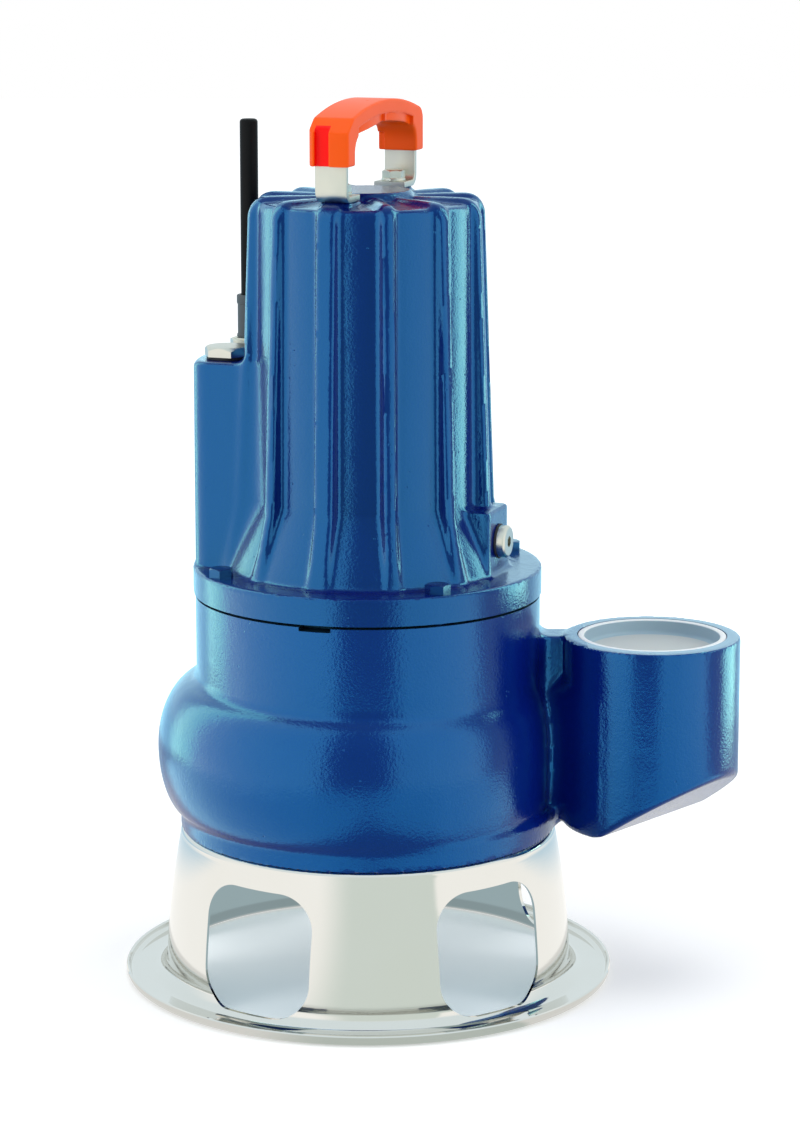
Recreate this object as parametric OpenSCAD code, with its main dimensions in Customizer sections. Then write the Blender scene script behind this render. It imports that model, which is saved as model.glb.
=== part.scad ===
// Submersible waste-water pump on a windowed stand, with a recessed vortex impeller.
// Millimetres. The origin is on the shaft's axis at the floor, and Z points up.
// The outlet stands on the right (+X) and faces up. The front of the pump is -Y.

/* [Stand] */
// Height of the stand, from the floor to the casing
stand_h = 77.6; // [65:0.1:95]
// Outer radius of the stand's wall at its foot
stand_foot_r = 102; // [98:0.5:107]
// Outer radius of the stand's wall at its top
stand_top_r = 93.8; // [89:0.1:94.2]
// Outer radius of the foot ring
foot_ring_r = 122.9; // [118:0.1:132]
// Height of the foot ring's raised lip
foot_lip_h = 5.5; // [4.5:0.5:9]
// Thickness of the stand's sheet
stand_sheet = 1.5; // [1:0.1:2.2]
// Number of windows around the stand
window_count = 5; // [3:1:5]
// Width of a window
window_w = 62; // [46:1:70]
// Height of a window
window_h = 61; // [46:1:62]
// Height of the windows' lower edge above the floor
window_z = 4; // [3:0.5:6]
// Corner radius of a window
window_corner = 18; // [6:1:20]
// Direction of the first window, from the front towards the outlet
window_turn = 38.25; // [30:0.25:50]

/* [Pump casing] */
// Height of the casing, from the stand to the motor flange
casing_h = 119.3; // [115:0.1:130]
// Outer radius of the casing's barrel
barrel_r = 85.8; // [84:0.1:88]
// Outer radius of the casing's bottom rim
rim_r = 94.3; // [92:0.1:97]
// Height of the bottom rim
rim_h = 12; // [9:0.5:15]
// Radius of the spiral where it starts
spiral_r = 91.1; // [89:0.1:94]
// Growth of the spiral's radius over one turn
spiral_growth = 28.9; // [24:0.1:32]
// Height of the spiral's top over its middle line, at its start
spiral_up = 30; // [27:0.1:33]
// What that height gains in one turn
spiral_up_growth = 10; // [8:0.1:12]
// Height of the spiral's widest line above the stand
spiral_mid = 40.4; // [38:0.1:43]
// Wall of the casting
casing_wall = 6.5; // [5:0.1:8]
// Thickness of the casing's floor
casing_floor = 9; // [8:0.5:11]
// Radius of the suction opening
suction_r = 32.5; // [27:0.5:38]
// Radius of the waterway, half of the free passage
passage_r = 26; // [22:0.5:27]
// Distance from the shaft to the outlet, towards the right
outlet_x = 141.4; // [136:0.1:148]
// Distance from the shaft to the outlet, towards the front
outlet_y = 10; // [5:0.5:14]
// Outer radius of the outlet boss
outlet_r = 43.8; // [42:0.1:47]
// Height of the outlet's face above the stand
outlet_h = 98.3; // [94:0.1:104]
// Direction in which the waterway reaches the outlet, from the front to the right
elbow_turn = 50; // [44:1:56]
// Slope of the elbow's underside
elbow_slope = 34.4; // [30:0.1:38]
// Minor radius of the outlet's pipe thread
port_r = 36.113; // [34:0.001:37]
// Depth of the outlet's thread
port_depth = 21; // [18:0.5:26]

/* [Motor housing] */
// Turn of the motor and its handle against the casing
motor_turn = 19.5; // [0:0.5:30]
// Outer radius of the housing's flange
flange_r = 86.5; // [85:0.1:90]
// Thickness of the flange
flange_h = 13.4; // [11:0.1:16]
// Radius of the bolt circle
bolt_circle_r = 79; // [78.5:0.1:80]
// Height of the housing between the ribs, from the casing
housing_h = 194.6; // [190:0.1:210]
// Outer radius of the barrel between the ribs, at its top
core_r = 54.5; // [53.5:0.1:56]
// Number of cooling ribs
rib_count = 12; // [8:2:16]
// Radius at the ribs' tips, at the top
rib_top_r = 58.6; // [58:0.1:61]
// Radius at the ribs' tips, where the flare starts
rib_low_r = 63.8; // [62:0.1:66]
// Width of a rib
rib_w = 6.6; // [5:0.1:8]
// Height of the ribs on the top
rib_rise = 2.5; // [1.5:0.1:4]
// Half width of the terminal box
box_half_w = 30; // [27:0.5:33]
// Height of the terminal box above the casing
box_h = 115.1; // [110:0.1:125]
// Radius of the motor's bore, where the stator sits
bore_r = 47; // [46:0.1:48]
// Height of the oil chamber above the casing
oil_h = 41.1; // [39:0.1:45]

/* [Motor] */
// Length of the stator's stack
stator_l = 72; // [60:1:76]
// Radius of the rotor
rotor_r = 25.6; // [23:0.1:27]
// Air gap between the rotor and the stator
air_gap = 0.4; // [0.3:0.1:0.8]
// Radius of the shaft at the seals and the lower bearing
shaft_r = 10; // [9:0.5:10.5]
// Number of slots in the stator
slot_count = 24; // [12:6:24]

/* [Impeller] */
// Outer radius of the impeller
impeller_r = 62; // [54:0.5:66]
// Height of the blades
blade_h = 22; // [16:0.5:24]
// Number of blades
blade_count = 8; // [6:1:10]
// Thickness of a blade
blade_t = 4; // [3:0.1:5.5]

/* [Handle] */
// Distance between the outer faces of the handle's legs
handle_span = 101; // [96:0.5:104]
// Height of the grip above the top of the ribs
handle_h = 46; // [42:0.5:56]
// Width of the handle's strap
strap_w = 16; // [14:0.5:17]
// Thickness of the handle's strap
strap_t = 3; // [2.5:0.1:4]
// Width of the grip
grip_w = 20.5; // [20:0.5:24]
// Thickness of the grip
grip_t = 10.5; // [9:0.1:12]

/* [Cable] */
// Diameter of the power cable
cable_d = 9; // [8:0.1:10]
// Outer diameter of the gland's sleeve
sleeve_d = 12.7; // [12:0.1:14]
// Height of the sleeve's top above the terminal box
sleeve_h = 28; // [25:0.5:32]

/* [Hidden] */

// Clearances: of a seat that is pushed home, of a thread, and of parts that turn past each other.
seat_gap = 0.03;
thread_gap = 0.1;
run_gap = 0.3;
$fn = 96;

// Heights of the main joints above the floor.
case_z = stand_h;
seam_z = case_z + casing_h;
top_z = seam_z + housing_h;
rib_z = top_z + rib_rise;
bracket_z = seam_z + oil_h;
box_z = seam_z + box_h;

// Foot ring and wall of the stand.
foot_bend = 8;
lip_bend = 4;
top_bend = 3;
wall_bow = 1.6;
stand_rim_r = stand_top_r - 19;
stand_screw_r = stand_top_r - 10;
stand_screw_count = 4;
stand_screw_turn = 20;
m6_r = 3;

// Plate that closes the oil chamber towards the water, sunk into the casing.
plate_t = 10;
plate_r = bolt_circle_r - 5.6;
spigot_r = plate_r - 15;
spigot_h = 6;
pocket_r = plate_r - 3.4;
oring_r = 1.3;
seam_lip = 2;
cast_edge = 1.2;
shoulder_fillet = 6;
seam_gap = 0.9;

// Flange bolts: M8.
m8_r = 4;
m8_af = 13;
m8_head = 5.5;
flange_bolt_depth = 17;

// Inside of the motor housing.
top_wall = 7.5;
bracket_t = 8;
bracket_r = bore_r + 2;
circlip_t = 1.5;
ledge_z = bracket_z + bracket_t;
inner_top_z = top_z - top_wall;
stator_z = ledge_z + 26;
coil_h = 16;
box_wall = 5;
box_corner = 5;
box_inner_x = bore_r + 9;
window_low = ledge_z + 2;
window_high = stator_z - 2;

// Outside of the motor housing.
flare_top_z = seam_z + 48.1;
knee_z = seam_z + 45.1;
flare_r = flange_r - 16;
core_low_r = core_r + 1.5;
rib_corner = 10;
rib_top_z = rib_z - 0.3;
hub_r = 20.3;
hub_h = 4.6;
pad_w = 16;

// Bearings: 6201 above, 6204 below.
upper_bearing = [6, 16, 10, 2.98, 7];
lower_bearing = [shaft_r, 23.5, 14, 3.97, 8];
washer_room = 1.5;
upper_bearing_z = inner_top_z - 6 - washer_room - upper_bearing[2];
lower_bearing_z = bracket_z + 3;
bearing_boss_wall = 5;

// Mechanical seals, back to back in the oil chamber.
seal_seat_r = 15.5;
seal_seat_h = 7;
seal_head_h = 10;
seal_head_r = 15;
lower_seal_z = seam_z;
upper_seal_z = bracket_z - 8;

// Shaft levels.
hub_top_z = seam_z - plate_t - 1.4;
hub_len = 25;
impeller_hub_r = 16;
shaft_end_z = hub_top_z - hub_len + 0.5;
impeller_seat_r = shaft_r - 2;
rotor_seat_r = shaft_r + 2;
shoulder_r = shaft_r + 3;
cage_end = 8;
impeller_disc_t = 5.5;

// Handle, in the frame of the motor.
leg_r = handle_span / 2;
strap_bend = 6;
foot_len = 18.5;
grip_top_z = rib_z + handle_h;
grip_end_z = grip_top_z - 6.5;
grip_low_z = grip_top_z - 28.5;
grip_arc_half = leg_r - 2;
grip_arc_r = (pow(grip_arc_half, 2) + pow(6.5, 2)) / (2 * 6.5);
strap_cover = 6;
strap_corner = 10;
m6_af = 10;
m6_head = 4;
m6_washer_r = 6;
m6_washer_t = 1.4;
handle_bolt_r = leg_r - strap_bend - m6_washer_r;

// Fittings on the terminal box, in the frame of the motor.
fitting_x = -68;
fitting_y = 15.3;
blank_af = 21;
gland_af = 19;
oil_plug_z = seam_z + 29.1;
oil_boss_x = 68.3;
oil_boss_w = 30;
oil_boss_h = 45.6;

// Route of the cable above its sleeve, from the sleeve's mouth up.
cable_rise = [0, 12, 24, 36, 48, 60, 72, 84, 87.5];

// Points along an arc from angle a0 to a1.
function arc(cx, cy, r, a0, a1, n) =
    [for (i = [0:n]) let (a = a0 + (a1 - a0) * i / n) [cx + r * cos(a), cy + r * sin(a)]];

// Unit direction from point p to point q.
function dir(p, q) = (q - p) / norm(q - p);

// Eight-cornered section of a band between an outer and an inner point of its side profile.
function band_ring(o, i, half_w, c) = let (d = dir(o, i), oc = o + c * d, ic = i - c * d) [
    [half_w - c, o[0], o[1]], [half_w, oc[0], oc[1]], [half_w, ic[0], ic[1]], [half_w - c, i[0], i[1]],
    [c - half_w, i[0], i[1]], [-half_w, ic[0], ic[1]], [-half_w, oc[0], oc[1]], [c - half_w, o[0], o[1]]];

// Solid through a row of rings with equal numbers of points, closed at both ends or joined end to end.
module loft(rings, joined = false) {
    n = len(rings[0]);
    m = len(rings);
    last = joined ? m - 1 : m - 2;
    sides = [for (k = [0:last]) for (i = [0:n - 1])
        let (j = (i + 1) % n, l = (k + 1) % m)
        each [[k * n + i, k * n + j, l * n + j], [k * n + i, l * n + j, l * n + i]]];
    ends = joined ? [] : [[for (i = [n - 1:-1:0]) i], [for (i = [0:n - 1]) (m - 1) * n + i]];
    polyhedron(points = [for (r = rings) each r], faces = concat(sides, ends), convexity = 8);
}

// Round section of radius r at point k of a path, square to it. The path never runs along ref.
function tube_ring(p, k, r, sides, ref) = let (
    t = dir(p[max(0, k - 1)], p[min(len(p) - 1, k + 1)]),
    side = cross(t, ref) / norm(cross(t, ref)),
    up = cross(side, t))
    [for (i = [0:sides - 1]) let (a = -360 * i / sides) p[k] + r * cos(a) * side + r * sin(a) * up];

// Round tube of radius r swept along points.
module tube(p, r, sides, ref) {
    loft([for (k = [0:len(p) - 1]) tube_ring(p, k, r, sides, ref)]);
}

module hex(af, h) {
    cylinder(r = af / 2 / cos(30), h = h, $fn = 6);
}

module ring(ro, ri, h) {
    difference() {
        cylinder(r = ro, h = h);
        translate([0, 0, -1]) cylinder(r = ri, h = h + 2);
    }
}

// Places what the motor carries in the motor's own turned frame.
module motor_frame() {
    rotate([0, 0, -motor_turn]) children();
}

module at_flange_bolts() {
    motor_frame() for (a = [45:90:315]) rotate([0, 0, a]) translate([bolt_circle_r, 0, 0]) children();
}

module at_stand_screws() {
    for (k = [0:stand_screw_count - 1])
        rotate([0, 0, stand_screw_turn + 360 * k / stand_screw_count]) translate([stand_screw_r, 0, 0]) children();
}

// Radius of the stand's outer face at height z: steep at the foot, leaning in towards the top.
function stand_wall_r(z) = stand_foot_r
    - (stand_foot_r - stand_top_r) * pow((z - stand_sheet - foot_bend) / (stand_h - stand_sheet - foot_bend), wall_bow);

module stand_profile() {
    steps = 8;
    low = stand_sheet + foot_bend;
    high = stand_h - top_bend;
    wall = [for (i = [0:steps]) let (z = high + (low - high) * i / steps) [stand_wall_r(z), z]];
    wall_top_r = stand_wall_r(high);
    polygon(concat(
        [[stand_rim_r, stand_h]],
        arc(wall_top_r - top_bend, high, top_bend, 90, 20, 3),
        wall,
        arc(stand_foot_r + foot_bend, low, foot_bend, 195, 270, 5),
        arc(foot_ring_r - lip_bend, lip_bend, lip_bend - stand_sheet, 270, 360, 4),
        [[foot_ring_r - stand_sheet, foot_lip_h], [foot_ring_r, foot_lip_h]],
        arc(foot_ring_r - lip_bend, lip_bend, lip_bend, 360, 270, 4),
        arc(stand_foot_r + foot_bend, low, foot_bend + stand_sheet, 270, 195, 5),
        [for (i = [steps:-1:0]) [wall[i][0] - stand_sheet, wall[i][1]]],
        arc(wall_top_r - top_bend, high, top_bend - stand_sheet, 20, 90, 3),
        [[stand_rim_r, stand_h - stand_sheet]]));
}

// Window outline: a rounded rectangle, centred.
module window_outline() {
    dx = window_w / 2 - window_corner;
    dy = window_h / 2 - window_corner;
    square([window_w, 2 * dy], center = true);
    square([2 * dx, window_h], center = true);
    for (x = [-dx, dx], y = [-dy, dy]) translate([x, y]) circle(r = window_corner, $fn = 48);
}

module stand() {
    color([0.82, 0.82, 0.80]) difference() {
        rotate_extrude() stand_profile();
        for (k = [0:window_count - 1])
            rotate([0, 0, window_turn - 90 - 360 * k / window_count])
                translate([stand_top_r - 25, 0, window_z + window_h / 2])
                    rotate([90, 0, 90]) linear_extrude(stand_foot_r - stand_top_r + 29.5) window_outline();
        at_stand_screws() translate([0, 0, stand_h - 5]) cylinder(r = m6_r + run_gap, h = 10);
    }
}

module stand_screws() {
    color([0.75, 0.75, 0.73]) at_stand_screws() difference() {
        union() {
            translate([0, 0, stand_h - stand_sheet - 4]) cylinder(r = 5.2, h = 4);
            translate([0, 0, stand_h - stand_sheet - 1]) cylinder(r = m6_r - thread_gap, h = stand_sheet + 7);
        }
        translate([0, 0, stand_h - stand_sheet - 5]) hex(4, 3);
    }
}

// The larger of two lengths, with a fillet that reaches k to both sides of where they meet.
function filleted(a, b, k) = max(a, b) + pow(max(k - abs(a - b), 0), 2) / k / 4;

// Meridian points of the spiral: an oval between a top and a bottom point, widest at its middle line.
function spiral_ring(u, wall) = let (
    a = -360 * u,
    mid = case_z + spiral_mid,
    up = spiral_up + spiral_up_growth * u - wall,
    down = spiral_mid - (wall > 0 ? casing_floor + 0.4 : rim_h - 3.6),
    widest = spiral_r + spiral_growth * u - wall,
    core = pocket_r - 22,
    top_base = wall > 0 ? pocket_r - 4 : barrel_r - 1.5,
    low_base = rim_r - (wall > 0 ? wall + 4 : 1.5),
    // Outside, the shoulder runs into the barrel with a cast fillet.
    top = [for (q = wall > 0 ? [90:-22.5:22.5] : [90:-15:15])
        [top_base + (widest - top_base) * cos(q), mid + up * sin(q)]],
    shoulder = wall > 0 ? top : concat([[barrel_r - 0.5, mid + up + shoulder_fillet],
        [filleted(barrel_r, top_base - 2, shoulder_fillet), mid + up + 2]],
        [for (p = top) [filleted(barrel_r, p[0], shoulder_fillet), p[1]]]),
    low = [for (q = [0:-22.5:-90]) [low_base + (widest - low_base) * cos(q), mid + down * sin(q)]],
    outline = concat([[core, shoulder[0][1]]], shoulder, low, [[core, mid - down]]))
    [for (p = outline) [p[0] * cos(a), p[0] * sin(a), p[1]]];

// Places a shape at the outlet, with X along the waterway's last stretch.
module at_outlet() {
    translate([outlet_x, -outlet_y, 0]) rotate([0, 0, elbow_turn - 90]) children();
}

// The spiral with its duct, elbow and outlet boss, before it is hollowed.
module casing_outside() {
    duct_wall = passage_r + casing_wall;
    duct_len = 100;
    elbow_z = case_z + 2.1;
    loft([for (k = [0:36]) spiral_ring(k / 36, 0)]);
    difference() {
        union() {
            translate([outlet_x, -outlet_y, elbow_z]) {
                cylinder(r = outlet_r, h = case_z + outlet_h - elbow_z - cast_edge);
                translate([0, 0, case_z + outlet_h - elbow_z - cast_edge])
                    cylinder(r1 = outlet_r, r2 = outlet_r - cast_edge, h = cast_edge);
            }
            hull() {
                at_outlet() translate([-duct_len, 0, case_z + spiral_mid]) rotate([0, 90, 0])
                    cylinder(r = duct_wall, h = 10, $fn = 32);
                translate([outlet_x, -outlet_y, elbow_z + 0.4]) cylinder(r = outlet_r - 1.5, h = 76, $fn = 48);
            }
            translate([barrel_r - 8, -10, elbow_z])
                cube([outlet_x - outlet_r - barrel_r + 20, 20, case_z + outlet_h - elbow_z - 0.5]);
        }
        at_outlet() translate([0, 0, elbow_z]) rotate([0, -elbow_slope, 0])
            translate([0, -80, -120]) cube([160, 160, 120]);
    }
    translate([0, 0, case_z]) cylinder(r = rim_r, h = rim_h - cast_edge);
    translate([0, 0, case_z + rim_h - cast_edge]) cylinder(r1 = rim_r, r2 = rim_r - cast_edge, h = cast_edge);
    translate([0, 0, case_z]) cylinder(r = barrel_r, h = casing_h);
}

module casing_waterway() {
    // Chamber of the spiral, with the pocket of the impeller above it.
    loft([for (k = [3:36]) spiral_ring(k / 36, casing_wall)]);
    translate([0, 0, case_z + casing_floor]) cylinder(r = pocket_r - 6, h = casing_h);
    translate([0, 0, case_z + spiral_mid + 20]) cylinder(r = pocket_r, h = casing_h);
    translate([0, 0, case_z - 1]) cylinder(r = suction_r, h = casing_floor + 2);
    // Duct, elbow and threaded port.
    at_outlet() translate([-110, 0, case_z + spiral_mid]) rotate([0, 90, 0]) cylinder(r = passage_r, h = 110);
    translate([outlet_x, -outlet_y, case_z + spiral_mid]) {
        sphere(r = passage_r + 0.6);
        cylinder(r1 = passage_r, r2 = port_r - 3, h = outlet_h - spiral_mid - port_depth + 0.01);
    }
    translate([outlet_x, -outlet_y, case_z + outlet_h - port_depth]) cylinder(r = port_r, h = port_depth + 1);
    translate([outlet_x, -outlet_y, case_z + outlet_h - plug_head_h])
        cylinder(r = plug_head_r + run_gap, h = plug_head_h + 1);
}

module volute_casing() {
    color([0.10, 0.32, 0.60]) difference() {
        casing_outside();
        casing_waterway();
        // Seat of the seal plate, the thin gap under the motor flange and the slot to prise it open.
        translate([0, 0, seam_z - plate_t]) cylinder(r = plate_r + seat_gap, h = plate_t + 1);
        translate([0, 0, seam_z - seam_gap]) ring(barrel_r + 2, barrel_r - seam_lip, seam_gap + 1);
        rotate([0, 0, -106.8]) translate([barrel_r - seam_lip, -8, seam_z - 2.5]) cube([10, 16, 5]);
        at_flange_bolts() translate([0, 0, seam_z - flange_bolt_depth]) cylinder(r = m8_r, h = 30);
        at_stand_screws() translate([0, 0, case_z - 1]) cylinder(r = m6_r, h = 8);
    }
}

// Transit plug of the outlet: a shallow cup with a rim that lies flush with the outlet's face.
plug_head_r = port_r + 0.8;
plug_head_h = 2;
plug_recess_r = port_r - 2.5;
plug_recess_h = 6;
plug_h = 16;

module port_plug() {
    color([0.80, 0.84, 0.86]) translate([outlet_x, -outlet_y, case_z + outlet_h]) difference() {
        union() {
            translate([0, 0, -plug_head_h]) cylinder(r = plug_head_r, h = plug_head_h);
            translate([0, 0, -plug_h]) cylinder(r = port_r - run_gap, h = plug_h);
        }
        translate([0, 0, -plug_recess_h]) cylinder(r = plug_recess_r, h = plug_recess_h + 1);
    }
}

module seal_plate() {
    color([0.45, 0.46, 0.48]) translate([0, 0, seam_z]) difference() {
        union() {
            translate([0, 0, -plate_t]) cylinder(r = plate_r, h = plate_t);
            cylinder(r = spigot_r, h = spigot_h);
        }
        translate([0, 0, -plate_t - 1]) cylinder(r = shaft_r + 2.5, h = 20);
        translate([0, 0, -seal_seat_h]) cylinder(r = seal_seat_r + seat_gap, h = 20);
        translate([0, 0, 1]) cylinder(r = spigot_r - 6, h = 20);
        translate([0, 0, -6.5]) ring(plate_r + 1, plate_r - 2 * oring_r + 0.1, 3.2);
    }
}

module casing_oring() {
    color([0.12, 0.12, 0.12]) translate([0, 0, seam_z - 4.9])
        rotate_extrude() translate([plate_r - oring_r + 0.1, 0]) circle(r = oring_r - 0.1, $fn = 32);
}

// Side profile of a cooling rib as pairs of tip and root points, from the flange over the shoulder to the hub.
function rib_pairs() = concat(
    [[[flare_r + 1, seam_z + 6], [flare_r - 10, seam_z + 6]],
     [[flare_r + 0.8, seam_z + flange_h + 0.6], [flare_r - 10, seam_z + flange_h + 0.6]],
     [[rib_low_r, knee_z], [bore_r + 3, knee_z]],
     [[rib_top_r, rib_top_z - rib_corner], [bore_r + 3, rib_top_z - rib_corner]]],
    [for (q = [22.5:22.5:90]) let (c = [rib_top_r - rib_corner, rib_top_z - rib_corner])
        [c + rib_corner * [cos(q), sin(q)], c + 1.5 * [cos(q), sin(q)]]],
    [[[hub_r + 2, rib_top_z], [hub_r + 2, top_z - 5]]]);

module rib(w) {
    loft([for (p = rib_pairs()) band_ring(p[0], p[1], w / 2, 1.4)]);
}

// Plan of the terminal box, drawn in by e: two straight sides and an outer face round the flange's circle.
function box_plan(e, z) = let (
    r = flange_r - 0.3 - e,
    h = box_half_w - e,
    cy = h - box_corner,
    cx = -sqrt(pow(r - box_corner, 2) - pow(cy, 2)),
    q = atan2(cy, -cx))
    [for (p = concat([[-20, h]], arc(cx, cy, box_corner, 90, 180 - q, 3),
        [for (s = [0.5, 0, -0.5]) [-r * cos(q * s), r * sin(q * s)]],
        arc(cx, -cy, box_corner, 180 + q, 270, 3), [[-20, -h]])) [p[0], p[1], z]];

module housing_outside() {
    rotate_extrude() polygon(concat(
        [[0, seam_z], [flange_r, seam_z], [flange_r, seam_z + flange_h - cast_edge],
         [flange_r - cast_edge, seam_z + flange_h], [flare_r, seam_z + flange_h], [core_low_r, flare_top_z]],
        arc(core_r - 8, top_z - 8.5, 8, 0, 80, 5),
        [[hub_r + 3.7, top_z + 1.5], [hub_r, top_z + hub_h], [0, top_z + hub_h]]));
    // The front and back ribs are stouter and carry a pad under each foot of the handle.
    for (k = [0:rib_count - 1]) rotate([0, 0, 360 * k / rib_count]) {
        rib(k % (rib_count / 2) == 0 ? rib_w + 3.4 : rib_w);
        if (k % (rib_count / 2) == 0)
            translate([-pad_w / 2, leg_r - foot_len - 3, top_z - 5]) cube([pad_w, foot_len - 2, rib_rise + 5]);
    }
    loft([box_plan(3.2, box_z), box_plan(0.9, box_z - 1.3), box_plan(0, box_z - 3.5), box_plan(0, seam_z + 2)]);
    // Boss of the oil plug.
    translate([bore_r - 2, -oil_boss_w / 2, seam_z + 4]) cube([oil_boss_x - bore_r + 2, oil_boss_w, oil_boss_h - 4]);
}

module housing_inside() {
    boss_r = upper_bearing[1] + bearing_boss_wall;
    rotate_extrude() polygon([[0, seam_z - 1], [spigot_r + seat_gap, seam_z - 1],
        [spigot_r + seat_gap, seam_z + spigot_h], [bracket_r + 2, bracket_z - 1.8], [bracket_r + seat_gap, bracket_z - 1.8],
        [bracket_r + seat_gap, ledge_z], [bore_r, ledge_z], [bore_r, inner_top_z - 6], [bore_r - 6, inner_top_z],
        [boss_r, inner_top_z], [boss_r, upper_bearing_z - 1], [upper_bearing[1] + seat_gap, upper_bearing_z - 1],
        [upper_bearing[1] + seat_gap, inner_top_z - 6], [0, inner_top_z - 6]]);
    translate([0, 0, bracket_z - circlip_t - 0.05]) cylinder(r = bracket_r + 2, h = circlip_t + 0.1);
    // Inside of the terminal box and the opening for the leads, below the stator.
    intersection() {
        translate([0, 0, ledge_z - 6]) cylinder(r = flange_r - box_wall, h = box_z - box_wall - ledge_z + 6);
        translate([-flange_r, box_wall - box_half_w, ledge_z - 6])
            cube([flange_r - box_inner_x, 2 * (box_half_w - box_wall), box_z]);
    }
    translate([-box_inner_x - 1, -16, window_low]) cube([12, 32, window_high - window_low]);
}

module motor_housing() {
    color([0.11, 0.33, 0.61]) difference() {
        motor_frame() difference() {
            housing_outside();
            housing_inside();
            for (s = [-1, 1]) {
                translate([0, s * handle_bolt_r, rib_z - 15]) cylinder(r = m6_r, h = 20);
                translate([fitting_x, s * fitting_y, box_z - 10]) cylinder(r = gland_thread_r, h = 20);
            }
            translate([bore_r, 0, oil_plug_z]) rotate([0, 90, 0]) cylinder(r = oil_thread_r, h = 40);
            // The rib behind the oil boss ends on it.
            translate([oil_boss_x, -oil_boss_w / 2, seam_z + flange_h]) cube([20, oil_boss_w, oil_boss_h - flange_h]);
        }
        at_flange_bolts() translate([0, 0, seam_z - 1]) cylinder(r = m8_r + run_gap, h = flange_h + 2);
    }
}

module flange_bolts() {
    color([0.08, 0.22, 0.48]) at_flange_bolts() {
        translate([0, 0, seam_z + flange_h]) hex(m8_af, m8_head);
        translate([0, 0, seam_z - flange_bolt_depth + 2])
            cylinder(r = m8_r - thread_gap, h = flange_h + flange_bolt_depth - 1.5);
    }
}

// Disc between the oil chamber and the motor: it carries the lower bearing and the upper seal's seat.
module bearing_bracket() {
    hub = lower_bearing[1] + 5;
    color([0.50, 0.51, 0.53]) difference() {
        union() {
            translate([0, 0, bracket_z]) cylinder(r = bracket_r, h = bracket_t);
            translate([0, 0, bracket_z]) cylinder(r = hub, h = lower_bearing[2] + 5);
            translate([0, 0, upper_seal_z]) cylinder(r = seal_seat_r + 4, h = bracket_z - upper_seal_z + 1);
        }
        translate([0, 0, upper_seal_z - 1]) cylinder(r = shaft_r + 2.5, h = 40);
        translate([0, 0, upper_seal_z - 1]) cylinder(r = seal_seat_r + seat_gap, h = seal_seat_h + 1);
        translate([0, 0, lower_bearing_z]) cylinder(r = lower_bearing[1] + seat_gap, h = 40);
    }
}

module bracket_circlip() {
    color([0.35, 0.35, 0.36]) translate([0, 0, bracket_z - circlip_t]) difference() {
        ring(bracket_r + 1.7, bracket_r - 3, circlip_t);
        translate([bracket_r - 10, -6, -1]) cube([20, 12, 4]);
    }
}

// Slot of the stator, from the bore outwards.
module slot(shrink) {
    slot_w = 2 * PI * (rotor_r + 8) / slot_count * 0.5;
    translate([rotor_r + 3 + shrink, -slot_w / 2 + shrink]) square([bore_r - rotor_r - 10 - 2 * shrink, slot_w - 2 * shrink]);
}

module stator_core() {
    color([0.42, 0.42, 0.44]) translate([0, 0, stator_z]) linear_extrude(stator_l) difference() {
        circle(r = bore_r - seat_gap);
        circle(r = rotor_r + air_gap);
        for (k = [0:slot_count - 1]) rotate(360 * k / slot_count) slot(0);
    }
}

module stator_windings() {
    coil_in = rotor_r + 5.5;
    coil_out = bore_r - 4;
    color([0.70, 0.38, 0.16]) {
        for (z = [stator_z - coil_h, stator_z + stator_l]) translate([0, 0, z]) rotate_extrude()
            polygon([[coil_in, 1], [coil_in + 2, 0], [coil_out - 2, 0], [coil_out, 2],
                [coil_out, coil_h - 2], [coil_out - 2, coil_h], [coil_in + 2, coil_h], [coil_in, coil_h - 1]]);
        translate([0, 0, stator_z - 1]) linear_extrude(stator_l + 2)
            for (k = [0:slot_count - 1]) rotate(360 * k / slot_count) slot(0.2);
    }
}

module shaft() {
    end_r = upper_bearing[0] - seat_gap;
    rotor_z = stator_z - cage_end;
    color([0.72, 0.72, 0.72]) difference() {
        rotate_extrude() polygon([[0, shaft_end_z], [impeller_seat_r, shaft_end_z], [impeller_seat_r, hub_top_z],
            [shaft_r - seat_gap, hub_top_z], [shaft_r - seat_gap, lower_bearing_z + lower_bearing[2]],
            [shoulder_r, lower_bearing_z + lower_bearing[2]], [shoulder_r, rotor_z], [rotor_seat_r, rotor_z],
            [rotor_seat_r, stator_z + stator_l + cage_end], [shaft_r - 2, stator_z + stator_l + cage_end],
            [shaft_r - 2, upper_bearing_z], [end_r, upper_bearing_z], [end_r, upper_bearing_z + upper_bearing[2]],
            [0, upper_bearing_z + upper_bearing[2]]]);
        translate([impeller_seat_r - key_h / 2, -key_w / 2, hub_top_z - key_l - 3]) cube([key_h, key_w, key_l]);
        translate([0, 0, shaft_end_z - 1]) cylinder(r = m8_r, h = 22);
    }
}

rotor_bar_r = 2;
rotor_bar_count = 18;
rotor_bar_at = rotor_r - rotor_bar_r - 1.2;

module rotor_core() {
    color([0.36, 0.36, 0.38]) translate([0, 0, stator_z]) linear_extrude(stator_l) difference() {
        circle(r = rotor_r);
        circle(r = rotor_seat_r + seat_gap);
        for (k = [0:rotor_bar_count - 1]) rotate(360 * k / rotor_bar_count) translate([rotor_bar_at, 0])
            circle(r = rotor_bar_r, $fn = 24);
    }
}

// Cast cage of the rotor: two end rings joined by the bars through the core.
module rotor_cage() {
    color([0.78, 0.79, 0.80]) {
        for (z = [stator_z - cage_end, stator_z + stator_l]) translate([0, 0, z])
            ring(rotor_r - 0.3, rotor_bar_at - 5, cage_end);
        for (k = [0:rotor_bar_count - 1]) rotate([0, 0, 360 * k / rotor_bar_count])
            translate([rotor_bar_at, 0, stator_z - 1])
                cylinder(r = rotor_bar_r - 2 * seat_gap, h = stator_l + 2, $fn = 24);
    }
}

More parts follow.
